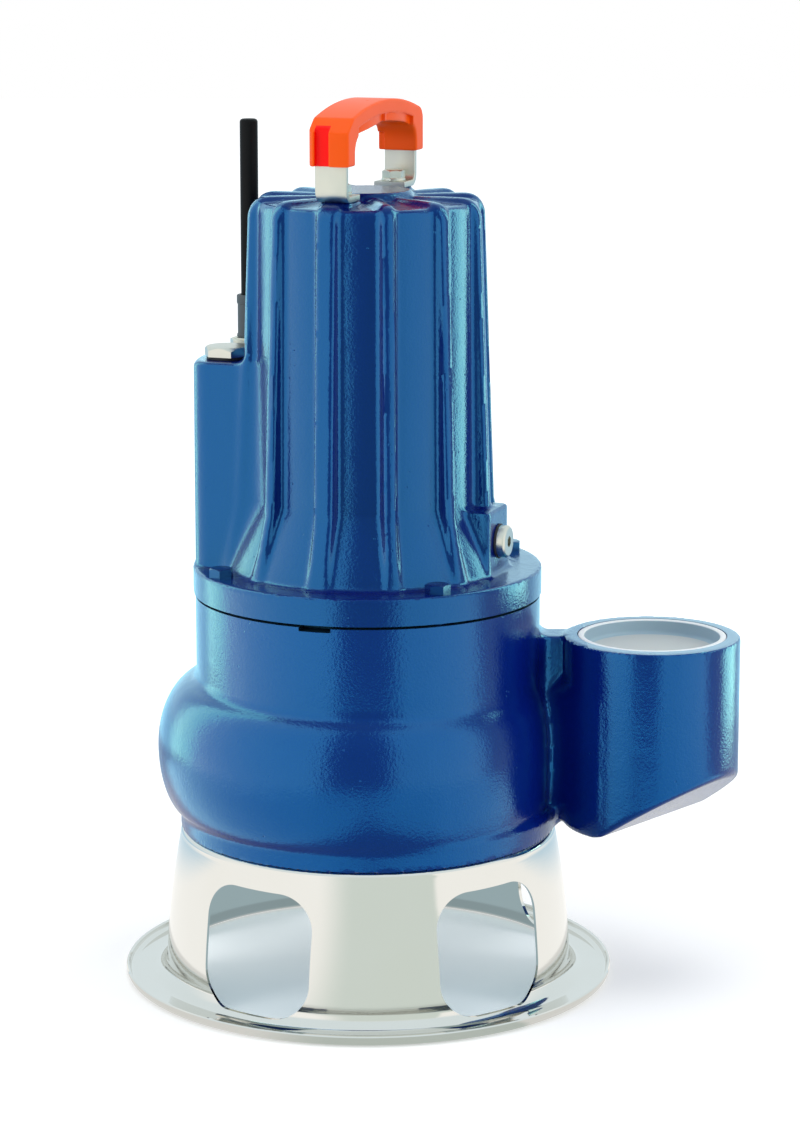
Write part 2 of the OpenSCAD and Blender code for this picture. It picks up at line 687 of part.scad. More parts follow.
// Ball bearing parts. b holds the bore's radius, the outer radius, the width, the balls' radius and their number.
function pitch_r(b) = (b[0] + b[1]) / 2;
function groove_r(b) = b[3] + run_gap;

module race(b, ro, ri) {
    difference() {
        ring(ro, ri, b[2]);
        translate([0, 0, b[2] / 2]) rotate_extrude() translate([pitch_r(b), 0]) circle(r = groove_r(b), $fn = 48);
    }
}

module outer_race(b) {
    race(b, b[1], pitch_r(b) + b[3] * 0.62);
}

module inner_race(b) {
    race(b, pitch_r(b) - b[3] * 0.62, b[0]);
}

module at_balls(b) {
    for (k = [0:b[4] - 1]) rotate([0, 0, 360 * k / b[4]]) translate([pitch_r(b), 0, b[2] / 2]) children();
}

module ball_cage(b) {
    difference() {
        translate([0, 0, b[2] / 2 - b[3] - 0.6])
            ring(pitch_r(b) + b[3] * 0.35, pitch_r(b) - b[3] * 0.35, 2 * b[3] + 1.2);
        at_balls(b) rotate([0, 90, 0]) translate([0, 0, -b[3]]) cylinder(r = b[3] + 0.12, h = 2 * b[3], $fn = 48);
    }
}

module upper_bearing_outer_ring() {
    color([0.66, 0.67, 0.69]) translate([0, 0, upper_bearing_z]) outer_race(upper_bearing);
}

module upper_bearing_inner_ring() {
    color([0.68, 0.69, 0.71]) translate([0, 0, upper_bearing_z]) inner_race(upper_bearing);
}

module upper_bearing_balls() {
    color([0.80, 0.81, 0.83]) translate([0, 0, upper_bearing_z]) at_balls(upper_bearing)
        sphere(r = upper_bearing[3], $fn = 48);
}

module upper_bearing_cage() {
    color([0.62, 0.52, 0.36]) translate([0, 0, upper_bearing_z]) ball_cage(upper_bearing);
}

module lower_bearing_outer_ring() {
    color([0.66, 0.67, 0.69]) translate([0, 0, lower_bearing_z]) outer_race(lower_bearing);
}

module lower_bearing_inner_ring() {
    color([0.68, 0.69, 0.71]) translate([0, 0, lower_bearing_z]) inner_race(lower_bearing);
}

module lower_bearing_balls() {
    color([0.80, 0.81, 0.83]) translate([0, 0, lower_bearing_z]) at_balls(lower_bearing)
        sphere(r = lower_bearing[3], $fn = 48);
}

module lower_bearing_cage() {
    color([0.62, 0.52, 0.36]) translate([0, 0, lower_bearing_z]) ball_cage(lower_bearing);
}

// Wavy spring washer that loads the upper bearing's outer ring.
module wave_washer() {
    t = 0.5;
    swing = (washer_room - t) / 2 - 0.02;
    low_z = upper_bearing_z + upper_bearing[2];
    color([0.55, 0.55, 0.56]) loft([for (k = [0:35]) let (a = 10 * k, z = low_z + washer_room / 2 + swing * sin(3 * a))
        [for (p = [[15.4, t / 2], [15.4, -t / 2], [12.9, -t / 2], [12.9, t / 2]])
            [p[0] * cos(a), p[0] * sin(a), z + p[1]]]], true);
}

// Stationary seat of a seal: a ceramic ring in its cup.
module seal_seat() {
    ring(seal_seat_r, shaft_r + 1.2, seal_seat_h);
}

// Turning head of a seal: the carbon face, its shell and the bellows that grips the shaft.
module seal_head() {
    color([0.25, 0.25, 0.27]) rotate_extrude() polygon([[shaft_r, run_gap / 6], [seal_head_r - 2.5, run_gap / 6],
        [seal_head_r - 2.5, 3], [seal_head_r, 3], [seal_head_r, seal_head_h], [seal_head_r - 4, seal_head_h],
        [shaft_r, seal_head_h]]);
}

module upper_seal_seat() {
    color([0.90, 0.89, 0.84]) translate([0, 0, upper_seal_z]) seal_seat();
}

module upper_seal_head() {
    translate([0, 0, upper_seal_z]) mirror([0, 0, 1]) seal_head();
}

module lower_seal_seat() {
    color([0.90, 0.89, 0.84]) translate([0, 0, lower_seal_z - seal_seat_h]) seal_seat();
}

module lower_seal_head() {
    translate([0, 0, lower_seal_z]) seal_head();
}

// Coil spring that presses both seal heads apart, ends a wire's radius from each head.
module seal_spring() {
    wire = 1;
    turns = 3;
    coil = shaft_r + 2.2;
    low = lower_seal_z + seal_head_h + wire + 0.05;
    high = upper_seal_z - seal_head_h - wire - 0.05;
    steps = 16 * turns;
    color([0.74, 0.74, 0.73]) tube([for (k = [0:steps]) let (a = 360 * turns * k / steps)
        [coil * cos(a), coil * sin(a), low + (high - low) * k / steps]], wire, 6, [0, 0, 1]);
}

// Vortex impeller: a disc with a hub above and short curved blades that hang into the chamber.
module impeller() {
    disc_z = hub_top_z - impeller_disc_t;
    bow = impeller_r * 0.8;
    color([0.48, 0.49, 0.51]) difference() {
        union() {
            translate([0, 0, disc_z]) cylinder(r = impeller_r, h = impeller_disc_t);
            translate([0, 0, hub_top_z - hub_len]) cylinder(r = impeller_hub_r, h = hub_len);
            translate([0, 0, disc_z - blade_h]) linear_extrude(blade_h + 1) intersection() {
                difference() {
                    circle(r = impeller_r);
                    circle(r = impeller_hub_r - 1);
                }
                for (k = [0:blade_count - 1]) rotate(360 * k / blade_count) translate([0, bow]) difference() {
                    circle(r = bow + blade_t / 2);
                    circle(r = bow - blade_t / 2);
                    translate([-200, -100]) square([200, 300]);
                    translate([-1, 0]) square([200, 200]);
                }
            }
        }
        translate([0, 0, hub_top_z - hub_len - 1]) cylinder(r = impeller_seat_r + seat_gap, h = hub_len + 2);
        translate([0, -key_w / 2, hub_top_z - hub_len - 1])
            cube([impeller_seat_r + key_h / 2 + 0.2, key_w, hub_len + 2]);
    }
}

key_w = 5;
key_h = 5;
key_l = 16;

module impeller_key() {
    color([0.60, 0.60, 0.60]) translate([impeller_seat_r - key_h / 2, -key_w / 2, hub_top_z - key_l - 3])
        cube([key_h, key_w, key_l]);
}

impeller_washer_t = 3;

module impeller_washer() {
    color([0.70, 0.70, 0.69]) translate([0, 0, hub_top_z - hub_len - impeller_washer_t])
        ring(12, m8_r + 0.4, impeller_washer_t);
}

module impeller_screw() {
    head_z = hub_top_z - hub_len - impeller_washer_t - 6;
    color([0.74, 0.74, 0.73]) difference() {
        union() {
            translate([0, 0, head_z]) cylinder(r = 6.5, h = 6);
            translate([0, 0, head_z + 5]) cylinder(r = m8_r - thread_gap, h = 22);
        }
        translate([0, 0, head_z - 1]) hex(6, 4.5);
    }
}

// Side outline of the strap in the handle's plane, widened by g all round.
function strap_face(g, s) = let (
    o = g * s,
    arc_c = grip_top_z - grip_arc_r,
    arc_r = grip_arc_r - strap_cover - (s > 0 ? 0 : strap_t) + o,
    corner_c = [leg_r - strap_corner, arc_c + sqrt(pow(grip_arc_r - strap_cover, 2) - pow(leg_r - strap_corner, 2)) - strap_corner],
    corner_r = strap_corner - (s > 0 ? 0 : strap_t) + o,
    bend_r = strap_bend - (s > 0 ? 0 : strap_t) + o,
    half_q = asin((leg_r - strap_corner) / (grip_arc_r - strap_cover)),
    half = concat([[leg_r - foot_len - g, rib_z + (s > 0 ? 0 : strap_t) - o]],
        arc(leg_r - strap_bend, rib_z + strap_bend, bend_r, 270, 360, 5),
        arc(corner_c[0], corner_c[1], corner_r, 0, 90 - half_q, 6),
        [for (q = [half_q * 0.8:-half_q * 0.2:0.1]) [arc_r * sin(q), arc_c + arc_r * cos(q)]]))
    concat(half, [[0, arc_c + arc_r]], [for (i = [len(half) - 1:-1:0]) [-half[i][0], half[i][1]]]);

module strap_solid(g) {
    inner = strap_face(g, -1);
    rotate([90, 0, 90]) translate([0, 0, -strap_w / 2 - g]) linear_extrude(strap_w + 2 * g)
        polygon(concat(strap_face(g, 1), [for (i = [len(inner) - 1:-1:0]) inner[i]]));
}

module handle_strap() {
    color([0.80, 0.79, 0.75]) motor_frame() difference() {
        strap_solid(0);
        for (s = [-1, 1]) translate([0, s * handle_bolt_r, rib_z - 1]) cylinder(r = m6_r + run_gap, h = strap_t + 2);
    }
}

// Side profile of the grip as pairs of outer and inner points, from the front sleeve over the arch to the back one.
function grip_half() = let (
    out_y = leg_r - strap_t / 2 + grip_t / 2,
    in_y = out_y - grip_t,
    arc_c = grip_top_z - grip_arc_r,
    in_r = grip_arc_r - grip_t,
    fillet = 6,
    corner = [in_y - fillet, arc_c + sqrt(pow(in_r, 2) - pow(in_y, 2)) - fillet])
    concat([[[out_y, grip_low_z], [in_y, grip_low_z]],
        [[out_y, grip_end_z - 7], corner + fillet * [1, 0]],
        [[out_y, grip_end_z - 5.8], corner + fillet * [cos(20), sin(20)]],
        [[grip_arc_half + 0.6, grip_end_z - 0.8], corner + fillet * [cos(50), sin(50)]],
        [[grip_arc_half - 1, grip_end_z + 0.2], corner + fillet * [cos(80), sin(80)]]],
        [for (f = [0.75, 0.5, 0.25]) let (q = f * asin(grip_arc_half / grip_arc_r))
            [[grip_arc_r * sin(q), arc_c + grip_arc_r * cos(q)], [in_r * sin(q), arc_c + in_r * cos(q)]]]);

module handle_grip() {
    half = grip_half();
    pairs = concat([for (p = half) [[-p[0][0], p[0][1]], [-p[1][0], p[1][1]]]],
        [[[0, grip_top_z], [0, grip_top_z - grip_t]]], [for (i = [len(half) - 1:-1:0]) half[i]]);
    out_y = leg_r - strap_t / 2 + grip_t / 2;
    recess_w = 7;
    recess_deep = 2.2;
    color([0.95, 0.36, 0.10]) motor_frame() difference() {
        loft([for (p = pairs) band_ring(p[0], p[1], grip_w / 2, 1.6)]);
        strap_solid(0.05);
        // Upright round-topped recess in the front sleeve.
        translate([-3.4, -out_y - 1, grip_low_z - 1]) rotate([90, 0, 0]) mirror([0, 0, 1])
            linear_extrude(recess_deep + 1) {
                translate([-recess_w / 2, 0]) square([recess_w, 14]);
                translate([0, 14]) circle(r = recess_w / 2, $fn = 32);
            }
    }
}

module at_handle_bolts() {
    motor_frame() for (s = [-1, 1]) translate([0, s * handle_bolt_r, rib_z + strap_t]) children();
}

module handle_bolts() {
    color([0.78, 0.77, 0.72]) at_handle_bolts() {
        translate([0, 0, m6_washer_t]) hex(m6_af, m6_head);
        translate([0, 0, -strap_t - 12]) cylinder(r = m6_r - thread_gap, h = strap_t + 12.5 + m6_washer_t);
    }
}

module handle_washers() {
    color([0.76, 0.75, 0.71]) at_handle_bolts() ring(m6_washer_r, m6_r + 0.2, m6_washer_t);
}

oil_thread_r = 5;
oil_washer_t = 1;

// Places what is screwed into the oil boss, with Z pointing outwards from the boss's face.
module at_oil_boss() {
    motor_frame() translate([oil_boss_x, 0, oil_plug_z]) rotate([0, 90, 0]) children();
}

module oil_plug() {
    color([0.78, 0.77, 0.72]) at_oil_boss() difference() {
        union() {
            translate([0, 0, oil_washer_t]) cylinder(r = 8, h = 3.6);
            translate([0, 0, oil_washer_t + 3.5]) cylinder(r1 = 8, r2 = 7, h = 0.9);
            translate([0, 0, -11]) cylinder(r = oil_thread_r - thread_gap, h = 12.5);
        }
        translate([0, 0, oil_washer_t + 1.4]) hex(5, 5);
    }
}

module oil_plug_washer() {
    color([0.20, 0.20, 0.20]) at_oil_boss() ring(8.6, oil_thread_r + 0.2, oil_washer_t);
}

gland_thread_r = 7.5;
blank_washer_t = 1.5;

module blanking_plug() {
    across = blank_af / 2 / cos(30);
    color([0.80, 0.79, 0.75]) motor_frame() translate([fitting_x, -fitting_y, box_z + blank_washer_t]) {
        intersection() {
            hex(blank_af, 5.2);
            rotate_extrude() polygon([[0, 0], [across + 0.1, 0], [across + 0.1, 3.4], [blank_af / 2 - 1, 4.8],
                [blank_af / 4, 5.2], [0, 5.3]]);
        }
        translate([0, 0, -blank_washer_t - 9]) cylinder(r = gland_thread_r - thread_gap, h = blank_washer_t + 9.5);
    }
}

module blanking_plug_washer() {
    color([0.16, 0.16, 0.16]) motor_frame() translate([fitting_x, -fitting_y, box_z])
        ring(10.4, gland_thread_r + 0.1, blank_washer_t);
}

// Places what sits on the cable's axis, at the top of the terminal box.
module at_gland() {
    motor_frame() translate([fitting_x, fitting_y, box_z]) children();
}

module cable_gland() {
    color([0.78, 0.77, 0.73]) at_gland() difference() {
        union() {
            hex(gland_af, 6);
            translate([0, 0, -9]) cylinder(r = gland_thread_r - thread_gap, h = 9.5);
            cylinder(r = gland_af / 2 - 1.2, h = 6.6);
        }
        translate([0, 0, -10]) cylinder(r = cable_d / 2 + 0.2, h = 20);
    }
}

module gland_sleeve() {
    collar_h = 4.3;
    color([0.45, 0.46, 0.48]) at_gland() difference() {
        union() {
            translate([0, 0, 6.6]) cylinder(r = sleeve_d / 2, h = sleeve_h - 6.6);
            translate([0, 0, sleeve_h - collar_h]) cylinder(r = sleeve_d / 2 + 0.4, h = collar_h);
        }
        cylinder(r = cable_d / 2 + 0.2, h = sleeve_h + 1);
    }
}

// The cable's sheathed end inside the gland and the terminal box.
module cable_tail() {
    color([0.08, 0.08, 0.08]) at_gland() translate([0, 0, -16]) cylinder(r = cable_d / 2, h = sleeve_h + 16);
}

// Four insulated cores from the sheath's end, down the terminal box and in to the windings.
module lead_wires() {
    x = fitting_x;
    y = fitting_y;
    coil_x = -bore_r + 3.7;
    in_z = (window_low + window_high) / 2;
    color([0.35, 0.22, 0.14]) motor_frame() for (k = [0:3]) let (dx = k < 2 ? -1.5 : 1.5, dy = k % 2 == 0 ? -1.5 : 1.5)
        tube([[x + dx, y + dy, box_z - 16], [x + dx, y + dy, box_z - 22], [x + dx, 0.8 * y + 1.5 * dy, box_z - 30],
            [x + dx, 0.3 * y + 2 * dy, in_z + 14], [x + 2 + dx, 3 * dy, in_z + 5 + dx],
            [x + 8 + dx, 3.5 * dy, in_z + 1.5 * dx], [coil_x, 3.5 * dy, in_z + 1.5 * dx]], 1.1, 6, [0, 1, 0]);
}

module power_cable() {
    color([0.06, 0.06, 0.06]) at_gland()
        tube([for (z = cable_rise) [0, 0, sleeve_h + z]], cable_d / 2, 12, [0, 1, 0]);
}

stand();
stand_screws();
volute_casing();
port_plug();
seal_plate();
casing_oring();
motor_housing();
flange_bolts();
bearing_bracket();
bracket_circlip();
stator_core();
stator_windings();
shaft();
rotor_core();
rotor_cage();
upper_bearing_outer_ring();
upper_bearing_inner_ring();
upper_bearing_balls();
upper_bearing_cage();
lower_bearing_outer_ring();
lower_bearing_inner_ring();
lower_bearing_balls();
lower_bearing_cage();
wave_washer();
upper_seal_seat();
upper_seal_head();
lower_seal_seat();
lower_seal_head();
seal_spring();
impeller();
impeller_key();
impeller_washer();
impeller_screw();
handle_strap();
handle_grip();
handle_bolts();
handle_washers();
oil_plug();
oil_plug_washer();
blanking_plug();
blanking_plug_washer();
cable_gland();
gland_sleeve();
cable_tail();
lead_wires();
power_cable();
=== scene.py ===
"""Looks of a submersible waste-water pump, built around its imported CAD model.

The sections follow the pump as it is put together, from the stand up. Sizes are in
millimetres where a name or a comment says so, and are brought to metres by MM.
"""

import math

import bmesh
import bpy
import numpy as np
from mathutils import Matrix, Vector


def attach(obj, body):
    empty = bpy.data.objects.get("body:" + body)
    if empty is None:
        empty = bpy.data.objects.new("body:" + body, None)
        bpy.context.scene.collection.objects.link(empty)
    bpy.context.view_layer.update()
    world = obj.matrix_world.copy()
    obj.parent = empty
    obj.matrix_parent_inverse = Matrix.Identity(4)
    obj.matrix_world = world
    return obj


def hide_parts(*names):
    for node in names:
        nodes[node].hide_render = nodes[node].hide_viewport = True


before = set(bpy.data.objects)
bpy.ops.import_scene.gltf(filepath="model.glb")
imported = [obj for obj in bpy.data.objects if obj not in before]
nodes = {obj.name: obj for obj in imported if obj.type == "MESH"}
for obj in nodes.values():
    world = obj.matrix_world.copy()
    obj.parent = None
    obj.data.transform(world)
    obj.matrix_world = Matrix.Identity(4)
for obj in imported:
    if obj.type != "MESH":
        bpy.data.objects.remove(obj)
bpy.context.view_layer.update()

MM = 0.001
scene = bpy.context.scene
scene.view_settings.view_transform = "Standard"

# View of the pump
# The photograph was taken from the front with a long lens, a little above the
# handle, looking down on the outlet's face and on the foot ring.
camera = bpy.data.objects.new("view", bpy.data.cameras.new("view"))
scene.collection.objects.link(camera)
camera.data.sensor_width = 36
camera.data.lens = 111.7
camera.data.clip_start, camera.data.clip_end = 0.1, 20
camera.location = (0.01604, -1.7064, 0.5647)
camera.rotation_euler = (math.radians(90 - 11.753), 0, 0)
scene.camera = camera


# Studio
# A pale sweep under the pump and soft light all round. Polished steel mirrors a grey-green
# card beside the camera, and the enamel mirrors tall soft boxes left and right of it.
class Flow:
    """A value in a node tree. Sums and products of it add Math nodes, and node() any other."""

    def __init__(self, tree, socket=None):
        self.tree, self.socket = tree, socket

    def node(self, kind, settings=None, **values):
        made = self.tree.nodes.new(kind)
        for name, value in (settings or {}).items():
            setattr(made, name, value)
        for name, value in values.items():
            place = int(name[1:]) if name[0] == "_" else name.replace("_", " ")
            if isinstance(value, Flow):
                self.tree.links.new(value.socket, made.inputs[place])
            else:
                made.inputs[place].default_value = value
        return Flow(self.tree, made.outputs[0]) if made.outputs else made

    def out(self, name):
        return Flow(self.tree, self.socket.node.outputs[name])

    def math(self, operation, *values):
        named = {f"_{i}": v for i, v in enumerate(values)}
        return self.node("ShaderNodeMath", {"operation": operation}, **named)

    def blend(self, factor, first, second):
        mix = self.node("ShaderNodeMix", {"data_type": "RGBA"}, _0=factor, _6=first, _7=second)
        return mix.out(2)

    def __add__(self, other):
        return self.math("ADD", self, other)

    def __radd__(self, other):
        return self.math("ADD", other, self)

    def __sub__(self, other):
        return self.math("SUBTRACT", self, other)

    def __rsub__(self, other):
        return self.math("SUBTRACT", other, self)

    def __mul__(self, other):
        return self.math("MULTIPLY", self, other)

    def __rmul__(self, other):
        return self.math("MULTIPLY", other, self)

    def __truediv__(self, other):
        return self.math("DIVIDE", self, other)

    def __rtruediv__(self, other):
        return self.math("DIVIDE", other, self)

    def __gt__(self, other):
        return self.math("GREATER_THAN", self, other)

    def __lt__(self, other):
        return self.math("LESS_THAN", self, other)

    def __neg__(self):
        return self.math("MULTIPLY", self, -1.0)


def band(value, low, high, soft):
    """1 where value lies between low and high, 0 outside, with edges soft over 2 * soft."""
    edges = []
    for limit in (low, high):
        edges.append(value.node(
            "ShaderNodeMapRange", {"interpolation_type": "SMOOTHSTEP"},
            Value=value, From_Min=limit - soft, From_Max=limit + soft,
        ))
    return edges[0] - edges[1]


def plan_radius(place):
    """Distance of place from the upright axis."""
    plan = place.node("ShaderNodeVectorMath", {"operation": "MULTIPLY"}, _0=place, _1=(1, 1, 0))
    return place.node("ShaderNodeVectorMath", {"operation": "LENGTH"}, _0=plan).out("Value")


glossy_pieces = bpy.data.collections.new("glossy_pieces")
PAPER, CARD = (1.08, 1.08, 1.06, 1), (0.73, 0.81, 0.77, 1)
SKY, REAR = (0.80, 0.90, 0.94, 1), (0.52, 0.74, 0.90, 1)


def card_beside(bearing):
    """Where the grey-green card stands: its left edge fades out, its right one is crisp."""
    left = band(bearing, -0.33, 3.0, 0.20)
    return left * band(bearing, -3.0, 0.70, 0.03)


def soft_box(name, size, power, place, turn, colour=(1, 1, 1)):
    """A rectangular lamp that the camera doesn't see."""
    lamp = bpy.data.lights.new(name, "AREA")
    lamp.shape = "RECTANGLE"
    lamp.size, lamp.size_y = size
    lamp.energy, lamp.color = power, colour
    box = bpy.data.objects.new(name, lamp)
    box.location, box.rotation_euler = place, turn
    scene.collection.objects.link(box)
    return box


def mirrored_boxes():
    """Soft boxes round the pump that only the enamel mirrors, the outer ones in cooler colours.
    The main two stand on a glowing strip that fills the floor from the box to the pump."""
    plain, cool, pale, strip = (0.82, 1, 1), (0.5, 1, 0.75), (0.3, 0.85, 1), (0.35, 0.9, 1)
    near, tall, strip_deep, strip_strength = 0.66, 1.3, 0.34, 2.2
    # Bearing from the front and half spread in degrees, strength and colour.
    boxes = {
        "left_gloss": (-60.5, 42.5, 2.9, plain),
        "left_edge_gloss": (-114, 12, 4.8, cool),
        "left_rear_gloss": (-151, 27, 1.1, pale),
        "right_gloss": (46, 28, 2.6, plain),
        "right_edge_gloss": (109, 12, 6.6, cool),
        "right_rear_gloss": (153, 25, 0.8, pale),
    }
    for name, (bearing, spread, strength, colour) in boxes.items():
        bearing, spread = math.radians(bearing), math.radians(spread)
        away, wide = near * math.cos(spread), 2 * near * math.sin(spread)
        lamps = [(name, tall, away, tall / 2, math.pi / 2, strength, colour)]
        if colour == plain:
            middle = away - strip_deep / 2
            lamps.append(
                (name + "_floor", strip_deep, middle, 0.002, math.pi, strip_strength, strip)
            )
        for title, deep, out, height, tilt, strength, colour in lamps:
            place = (out * math.sin(bearing), -out * math.cos(bearing), height)
            power = strength * math.pi * wide * deep
            box = soft_box(title, (wide, deep), power, place, (tilt, 0, bearing), colour)
            box.visible_diffuse = box.visible_camera = False
            box.light_linking.receiver_collection = glossy_pieces


def build_sky():
    """White to the camera; polished steel mirrors paper in front and a cooler sky behind."""
    world = bpy.data.worlds.new("studio")
    scene.world = world
    world.use_nodes = True
    world.node_tree.nodes.clear()
    light = Flow(world.node_tree)
    ray = light.node("ShaderNodeLightPath")
    way = light.node("ShaderNodeTexCoord").out("Generated")
    way = light.node("ShaderNodeSeparateXYZ", Vector=way)
    bearing = way.math("ARCTAN2", way.out("X"), -way.out("Y"))
    rise = way.math("ARCSINE", way.out("Z"))
    behind = 1 - band(bearing, -1.7, 1.7, 0.5)
    high = band(rise, 0.45, 2.0, 0.15)
    glow = light.blend(behind.math("MAXIMUM", behind, high), PAPER, SKY)
    glow = light.blend(card_beside(bearing) * band(rise, -1.6, 0.5, 0.1), glow, CARD)
    plain = light.blend(ray.out("Is Glossy Ray"), (0.62, 0.64, 0.66, 1), glow)
    seen = light.blend(ray.out("Is Camera Ray"), plain, (1, 1, 1, 1))
    end = light.node("ShaderNodeBackground", Color=seen, Strength=1.0)
    light.node("ShaderNodeOutputWorld", Surface=end)


def sweep_paper():
    """The floor's paper. For the camera it is lifted to white by a painted glow, weaker near the
    pump so that the pump's shadow shows, and with painted shade under the bell. What the polished
    steel mirrors of it is a painted reflection that glows in its own colours, with painted shade
    under the bell and a painted contact shadow round the foot ring."""
    paper = bpy.data.materials.new("floor_paper")
    paper.use_nodes = True
    paper.node_tree.nodes.clear()
    sheet = Flow(paper.node_tree)
    ray = sheet.node("ShaderNodeLightPath")
    flat = sheet.node("ShaderNodeTexCoord").out("Object")
    spot = sheet.node("ShaderNodeSeparateXYZ", Vector=flat)
    bearing = spot.math("ARCTAN2", spot.out("X"), -spot.out("Y"))
    reach = plan_radius(flat)
    under = band(reach, -1.0, 0.106, 0.003)

    # Painted reflection: for mirror rays the paper glows as paper white, the grey-green card in
    # front and a cooler colour behind the pump.
    shine = sheet.blend(card_beside(bearing) * (reach > 0.12), PAPER, CARD)
    shine = sheet.blend(band(spot.out("Y"), 0.25, 99.0, 0.1), shine, REAR)
    # Painted shade under the bell and a painted contact shadow round the foot ring, in the mirrored
    # floor.
    shine = sheet.blend(under, shine, (0.37, 0.49, 0.54, 1))
    shine = sheet.blend(band(reach, 0.088, 0.145, 0.004) * 0.3, shine, (0.10, 0.12, 0.12, 1))
    painted_reflection = sheet.node("ShaderNodeEmission", Color=shine, Strength=1.0)

    # Painted shade under the bell for the camera, darker towards the front, and a painted glow that
    # is weaker near the pump.
    far_side = band(spot.out("Y"), -0.02, 1.0, 0.05)
    shade = sheet.blend(far_side, (0.19, 0.27, 0.30, 1), (0.36, 0.42, 0.43, 1))
    away = band(reach, 0.55, 99.0, 0.25)
    painted_glow = sheet.blend(away, (0.23, 0.235, 0.235, 1), (0.55, 0.55, 0.55, 1))
    painted_glow = sheet.node("ShaderNodeEmission", Color=sheet.blend(under, painted_glow, shade), Strength=1.0)
    matt = sheet.node("ShaderNodeBsdfDiffuse", Color=(0.93, 0.93, 0.93, 1))
    lit = sheet.node("ShaderNodeAddShader", _0=matt, _1=painted_glow)
    cover = sheet.node("ShaderNodeMixShader", _0=ray.out("Is Camera Ray"), _1=matt, _2=lit)
    glossy = ray.out("Is Glossy Ray")
    cover = sheet.node("ShaderNodeMixShader", _0=glossy, _1=cover, _2=painted_reflection)
    sheet.node("ShaderNodeOutputMaterial", Surface=cover)
    return paper


build_sky()
SWEEP = 6.0
sweep = bpy.data.meshes.new("floor")
sweep_corners = [(-SWEEP, -SWEEP, 0), (SWEEP, -SWEEP, 0), (SWEEP, SWEEP, 0), (-SWEEP, SWEEP, 0)]
sweep.from_pydata(sweep_corners, [], [(0, 1, 2, 3)])
sweep.materials.append(sweep_paper())
floor = bpy.data.objects.new("floor", sweep)
scene.collection.objects.link(floor)

# Place, size and power of each main soft box, which faces the middle of the pump.
main_boxes = {
    "left_box": ((-1.45, -0.75, 0.75), (0.75, 1.7), 10.0),
    "right_box": ((1.55, -0.55, 0.70), (0.6, 1.6), 9.0),
    "top_box": ((0.1, 0.25, 1.75), (1.3, 1.3), 8.0),
}
for name, (place, size, power) in main_boxes.items():
    facing = (Vector((0, 0, 0.2)) - Vector(place)).to_track_quat("-Z", "Y").to_euler()
    soft_box(name, size, power, place, facing).visible_glossy = False
mirrored_boxes()


# Power cable
# A round rubber cable of 9 mm, cut square for transport: it stands 87.5 mm out of the
# gland's sleeve and ends bare. Its jacket is matt black with a faint moulded grain.
MOTOR_TURN = math.radians(-19.5)
motor_turned = Matrix.Rotation(MOTOR_TURN, 4, "Z")


def on_motor(x, y, z):
    """A point of the motor's own turned frame, in millimetres, as a point of the pump."""
    return motor_turned @ Vector((x, y, z)) * MM


def smooth(mesh, sharp_from=32):
    mesh.polygons.foreach_set("use_smooth", [True] * len(mesh.polygons))
    mesh.set_sharp_from_angle(angle=math.radians(sharp_from))
    return mesh


def plain_mesh(name, mesh, place=Matrix.Identity(4)):
    """A bmesh as mesh data, with its faces outwards."""
    bmesh.ops.recalc_face_normals(mesh, faces=mesh.faces)
    mesh.transform(place)
    made = bpy.data.meshes.new(name)
    mesh.to_mesh(made)
    mesh.free()
    return made


def turned(name, outline, sides=96, place=Matrix.Identity(4), ring=False):
    """A lathe-turned shape. The outline holds (radius, height) in millimetres, downwards on
    the outside, and closes on the axis at both ends, or on itself if ring is set."""
    mesh = bmesh.new()
    rows = []
    for radius, height in outline:
        if radius < 1e-6:
            rows.append([mesh.verts.new((0, 0, height))])
            continue
        turns = [2 * math.pi * k / sides for k in range(sides)]
        circle = [(radius * math.cos(t), radius * math.sin(t), height) for t in turns]
        rows.append([mesh.verts.new(spot) for spot in circle])
    pairs = list(zip(rows, rows[1:])) + ([(rows[-1], rows[0])] if ring else [])
    for upper, lower in pairs:
        for k in range(sides):
            order = [(upper, k), (lower, k), (lower, k + 1), (upper, k + 1)]
            corners = [row[step % len(row)] for row, step in order]
            mesh.faces.new(list(dict.fromkeys(corners)))
    return smooth(plain_mesh(name, mesh, place @ Matrix.Scale(MM, 4)))


def fit(name, mesh, finish, slot, body, *stands_for):
    """A finished piece: its mesh, its finish, the body it rides on and the nodes it stands for."""
    piece = bpy.data.objects.new(name, mesh)
    scene.collection.objects.link(piece)
    mesh.materials.clear()
    mesh.materials.append(finish)
    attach(piece, body)
    if stands_for:
        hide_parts(*stands_for)
    return piece


def rounding(centre, radius, start, end, steps):
    """Points of an arc in an outline, with its angles in degrees."""
    turns = [math.radians(start + (end - start) * k / steps) for k in range(steps + 1)]
    return [(centre[0] + radius * math.cos(t), centre[1] + radius * math.sin(t)) for t in turns]


def finish_of(name, colour, roughness, metal=0.0, **more):
    """A new finish and the shader that its section goes on to detail."""
    made = bpy.data.materials.new(name)
    made.use_nodes = True
    made.node_tree.nodes.clear()
    made.diffuse_color = (*colour, 1)
    start = Flow(made.node_tree)
    shader = start.node(
        "ShaderNodeBsdfPrincipled",
        Base_Color=(*colour, 1), Roughness=roughness, Metallic=metal, **more,
    )
    start.node("ShaderNodeOutputMaterial", Surface=shader)
    place = start.node("ShaderNodeTexCoord").out("Object")
    return made, shader, place


def feed(shader, **links):
    """Joins what varies over the surface to the shader's sockets."""
    for name, value in links.items():
        shader.tree.links.new(value.socket, shader.socket.node.inputs[name.replace("_", " ")])


def grain(place, scale, detail=3.0, rough=0.5, stretch=(1, 1, 1)):
    """Noise with features about 1/scale metres long."""
    where = place.node("ShaderNodeMapping", Vector=place, Scale=stretch)
    sizes = {"Scale": scale, "Detail": detail, "Roughness": rough}
    return place.node("ShaderNodeTexNoise", Vector=where, **sizes)


def raised(shader, height, deep, strength=1.0, over=None):
    """A bump of that many metres."""
    values = {"Height": height, "Distance": deep, "Strength": strength}
    if over is not None:
        values["Normal"] = over
    return shader.node("ShaderNodeBump", **values)


